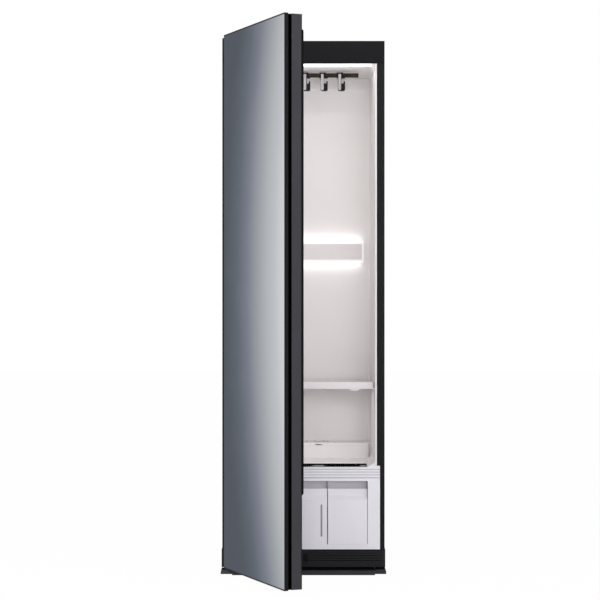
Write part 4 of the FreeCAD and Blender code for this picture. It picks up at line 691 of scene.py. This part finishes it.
# ---------------------------------------------------------------- studio
def make_floor():
    """A pale floor that is white to the eye but keeps the shadow under the cabinet."""
    half_size, glow_share = 20.0, 0.98
    mesh = bmesh.new()
    bmesh.ops.create_grid(mesh, x_segments=1, y_segments=1, size=half_size)
    floor = new_object("studio_floor", mesh)
    material, tree = new_material("pale_floor")
    path = add(tree, "ShaderNodeLightPath")
    share = reckoned(tree, "MULTIPLY", path.outputs["Is Camera Ray"], glow_share)
    paint = add(tree, "ShaderNodeBsdfDiffuse", None, {"Color": colour("#f0f0f0")})
    glow = add(tree, "ShaderNodeEmission", None, {"Color": colour("#ffffff"), "Strength": 1.0})
    close_material(tree, add(tree, "ShaderNodeMixShader", None,
                             {0: share, 1: paint.outputs[0], 2: glow.outputs[0]}))
    floor.data.materials.append(material)
    floor.visible_glossy = False


def make_gradient_card():
    """A tall graded card, back and to the left, that the open mirror reflects.
    Its shades run from one side to the other, and bow in a parabola whose middle is a little above the
    card's own."""
    middle = Vector((-1.673, 1.305, 1.0))
    across = Vector((0.7343, 0.6788, 0.0))
    up = Vector((0, 0, 1))
    half_width, half_height = 0.9, 1.9
    bow, bow_middle = 0.047, 0.096
    first_shade, last_shade = -0.143, 0.128
    stops = [(0.0, "#fdfeff"), (0.10, "#eaebef"), (0.237, "#dcdfe0"), (0.407, "#bec2c5"), (0.576, "#999ba9"),
             (0.746, "#7a818a"), (0.95, "#6a6f77")]
    mesh = bmesh.new()
    bmesh.ops.create_grid(mesh, x_segments=1, y_segments=1, size=1.0)
    bmesh.ops.scale(mesh, verts=mesh.verts, vec=(half_width, half_height, 1))
    turn = Matrix((across, up, across.cross(up))).transposed().to_4x4()
    bmesh.ops.transform(mesh, verts=mesh.verts, matrix=Matrix.Translation(middle) @ turn)
    card = new_object("graded_card", mesh)
    material, tree = new_material("graded_paper")
    offset = add(tree, "ShaderNodeVectorMath", {"operation": "SUBTRACT"}, {0: object_place(tree), 1: middle})
    sideways = add(tree, "ShaderNodeVectorMath", {"operation": "DOT_PRODUCT"},
                   {0: offset.outputs["Vector"], 1: across})
    height = add(tree, "ShaderNodeSeparateXYZ", None, {0: offset.outputs["Vector"]})
    rise = reckoned(tree, "SUBTRACT", height.outputs[2], bow_middle)
    square = reckoned(tree, "MULTIPLY", rise, rise)
    bowed = reckoned(tree, "MULTIPLY_ADD", square, bow, sideways.outputs["Value"])
    shades = add(tree, "ShaderNodeValToRGB", {"stops": [(at, colour(code)) for at, code in stops]},
                 {0: ranged(tree, bowed, (first_shade, last_shade))})
    glow = add(tree, "ShaderNodeEmission", None, {"Color": shades.outputs["Color"], "Strength": 1.0})
    close_material(tree, glow)
    card.data.materials.append(material)
    card.visible_camera = False
    card.visible_diffuse = False
    card.visible_shadow = False
    card.visible_transmission = False


def make_world():
    """White to the eye; for gloss, white behind the cabinet and dim behind the viewer; for matt surfaces,
    an even light."""
    dim, white = 0.12, 1.0
    world = bpy.data.worlds.new("studio")
    world.use_nodes = True
    scene.world = world
    tree = world.node_tree
    tree.nodes.clear()
    path = add(tree, "ShaderNodeLightPath")
    way = add(tree, "ShaderNodeTexCoord").outputs["Generated"]
    ways = add(tree, "ShaderNodeSeparateXYZ", None, {0: way})
    mirrored = ranged(tree, ways.outputs[1], (-0.5, 0.5), (dim, white), "SMOOTHSTEP")
    bounced = mixed(tree, "FLOAT", path.outputs["Is Glossy Ray"], LEVELS["room"], mirrored)
    direct = reckoned(tree, "MAXIMUM", path.outputs["Is Camera Ray"], path.outputs["Is Transmission Ray"])
    level = mixed(tree, "FLOAT", direct, bounced, white)
    back = add(tree, "ShaderNodeBackground", None, {"Color": colour("#ffffff"), "Strength": level})
    add(tree, "ShaderNodeOutputWorld", None, {"Surface": back.outputs[0]})


def soft_box(name, place, target, size, shines=True):
    """A soft light aimed at a point; one that doesn't shine leaves no highlight on gloss.
    Lamps whose names are the same up to the dot share one level."""
    data = bpy.data.lights.new(name, "AREA")
    data.shape = "RECTANGLE"
    data.size, data.size_y = size
    data.energy = LEVELS[name.split(".")[0]]
    lamp = bpy.data.objects.new(name, data)
    lamp.location = place
    lamp.rotation_euler = (Vector(target) - Vector(place)).to_track_quat("-Z", "Y").to_euler()
    lamp.visible_camera = False
    lamp.visible_glossy = shines
    scene.collection.objects.link(lamp)


make_floor()
make_gradient_card()
make_world()
# In the room.
soft_box("key", (1.9, -3.4, 2.0), (0, 0.1, 1.0), (1.6, 2.0), shines=False)
soft_box("fill", (-2.4, -3.6, 1.6), (0, 0.1, 0.9), (1.6, 2.0), shines=False)
soft_box("front", (0.4, -6.6, 1.2), (0, 0.1, 1.0), (2.0, 2.0), shines=False)
soft_box("top", (0.1, -1.6, 3.3), (0, 0.0, 1.0), (2.2, 1.6))
# In the cabinet: at its mouth, under the shelf, along the ceiling strip, and above and below the back light.
soft_box("mouth_high", (0, 0.004, 1.15), (0, 1, 1.15), (0.5, 0.9), shines=False)
soft_box("mouth_low", (0, 0.2, 0.655), (0, 0.2, 0.39), (0.5, 0.16), shines=False)
soft_box("strip", (0, 0.03, 1.846), (0, 0.35, 1.65), (0.5, 0.02), shines=False)
soft_box("halo.above", (0, 0.452, 1.236), (0, 0.47, 1.262), (0.45, 0.012), shines=False)
soft_box("halo.below", (0, 0.452, 1.142), (0, 0.47, 1.116), (0.45, 0.012), shines=False)
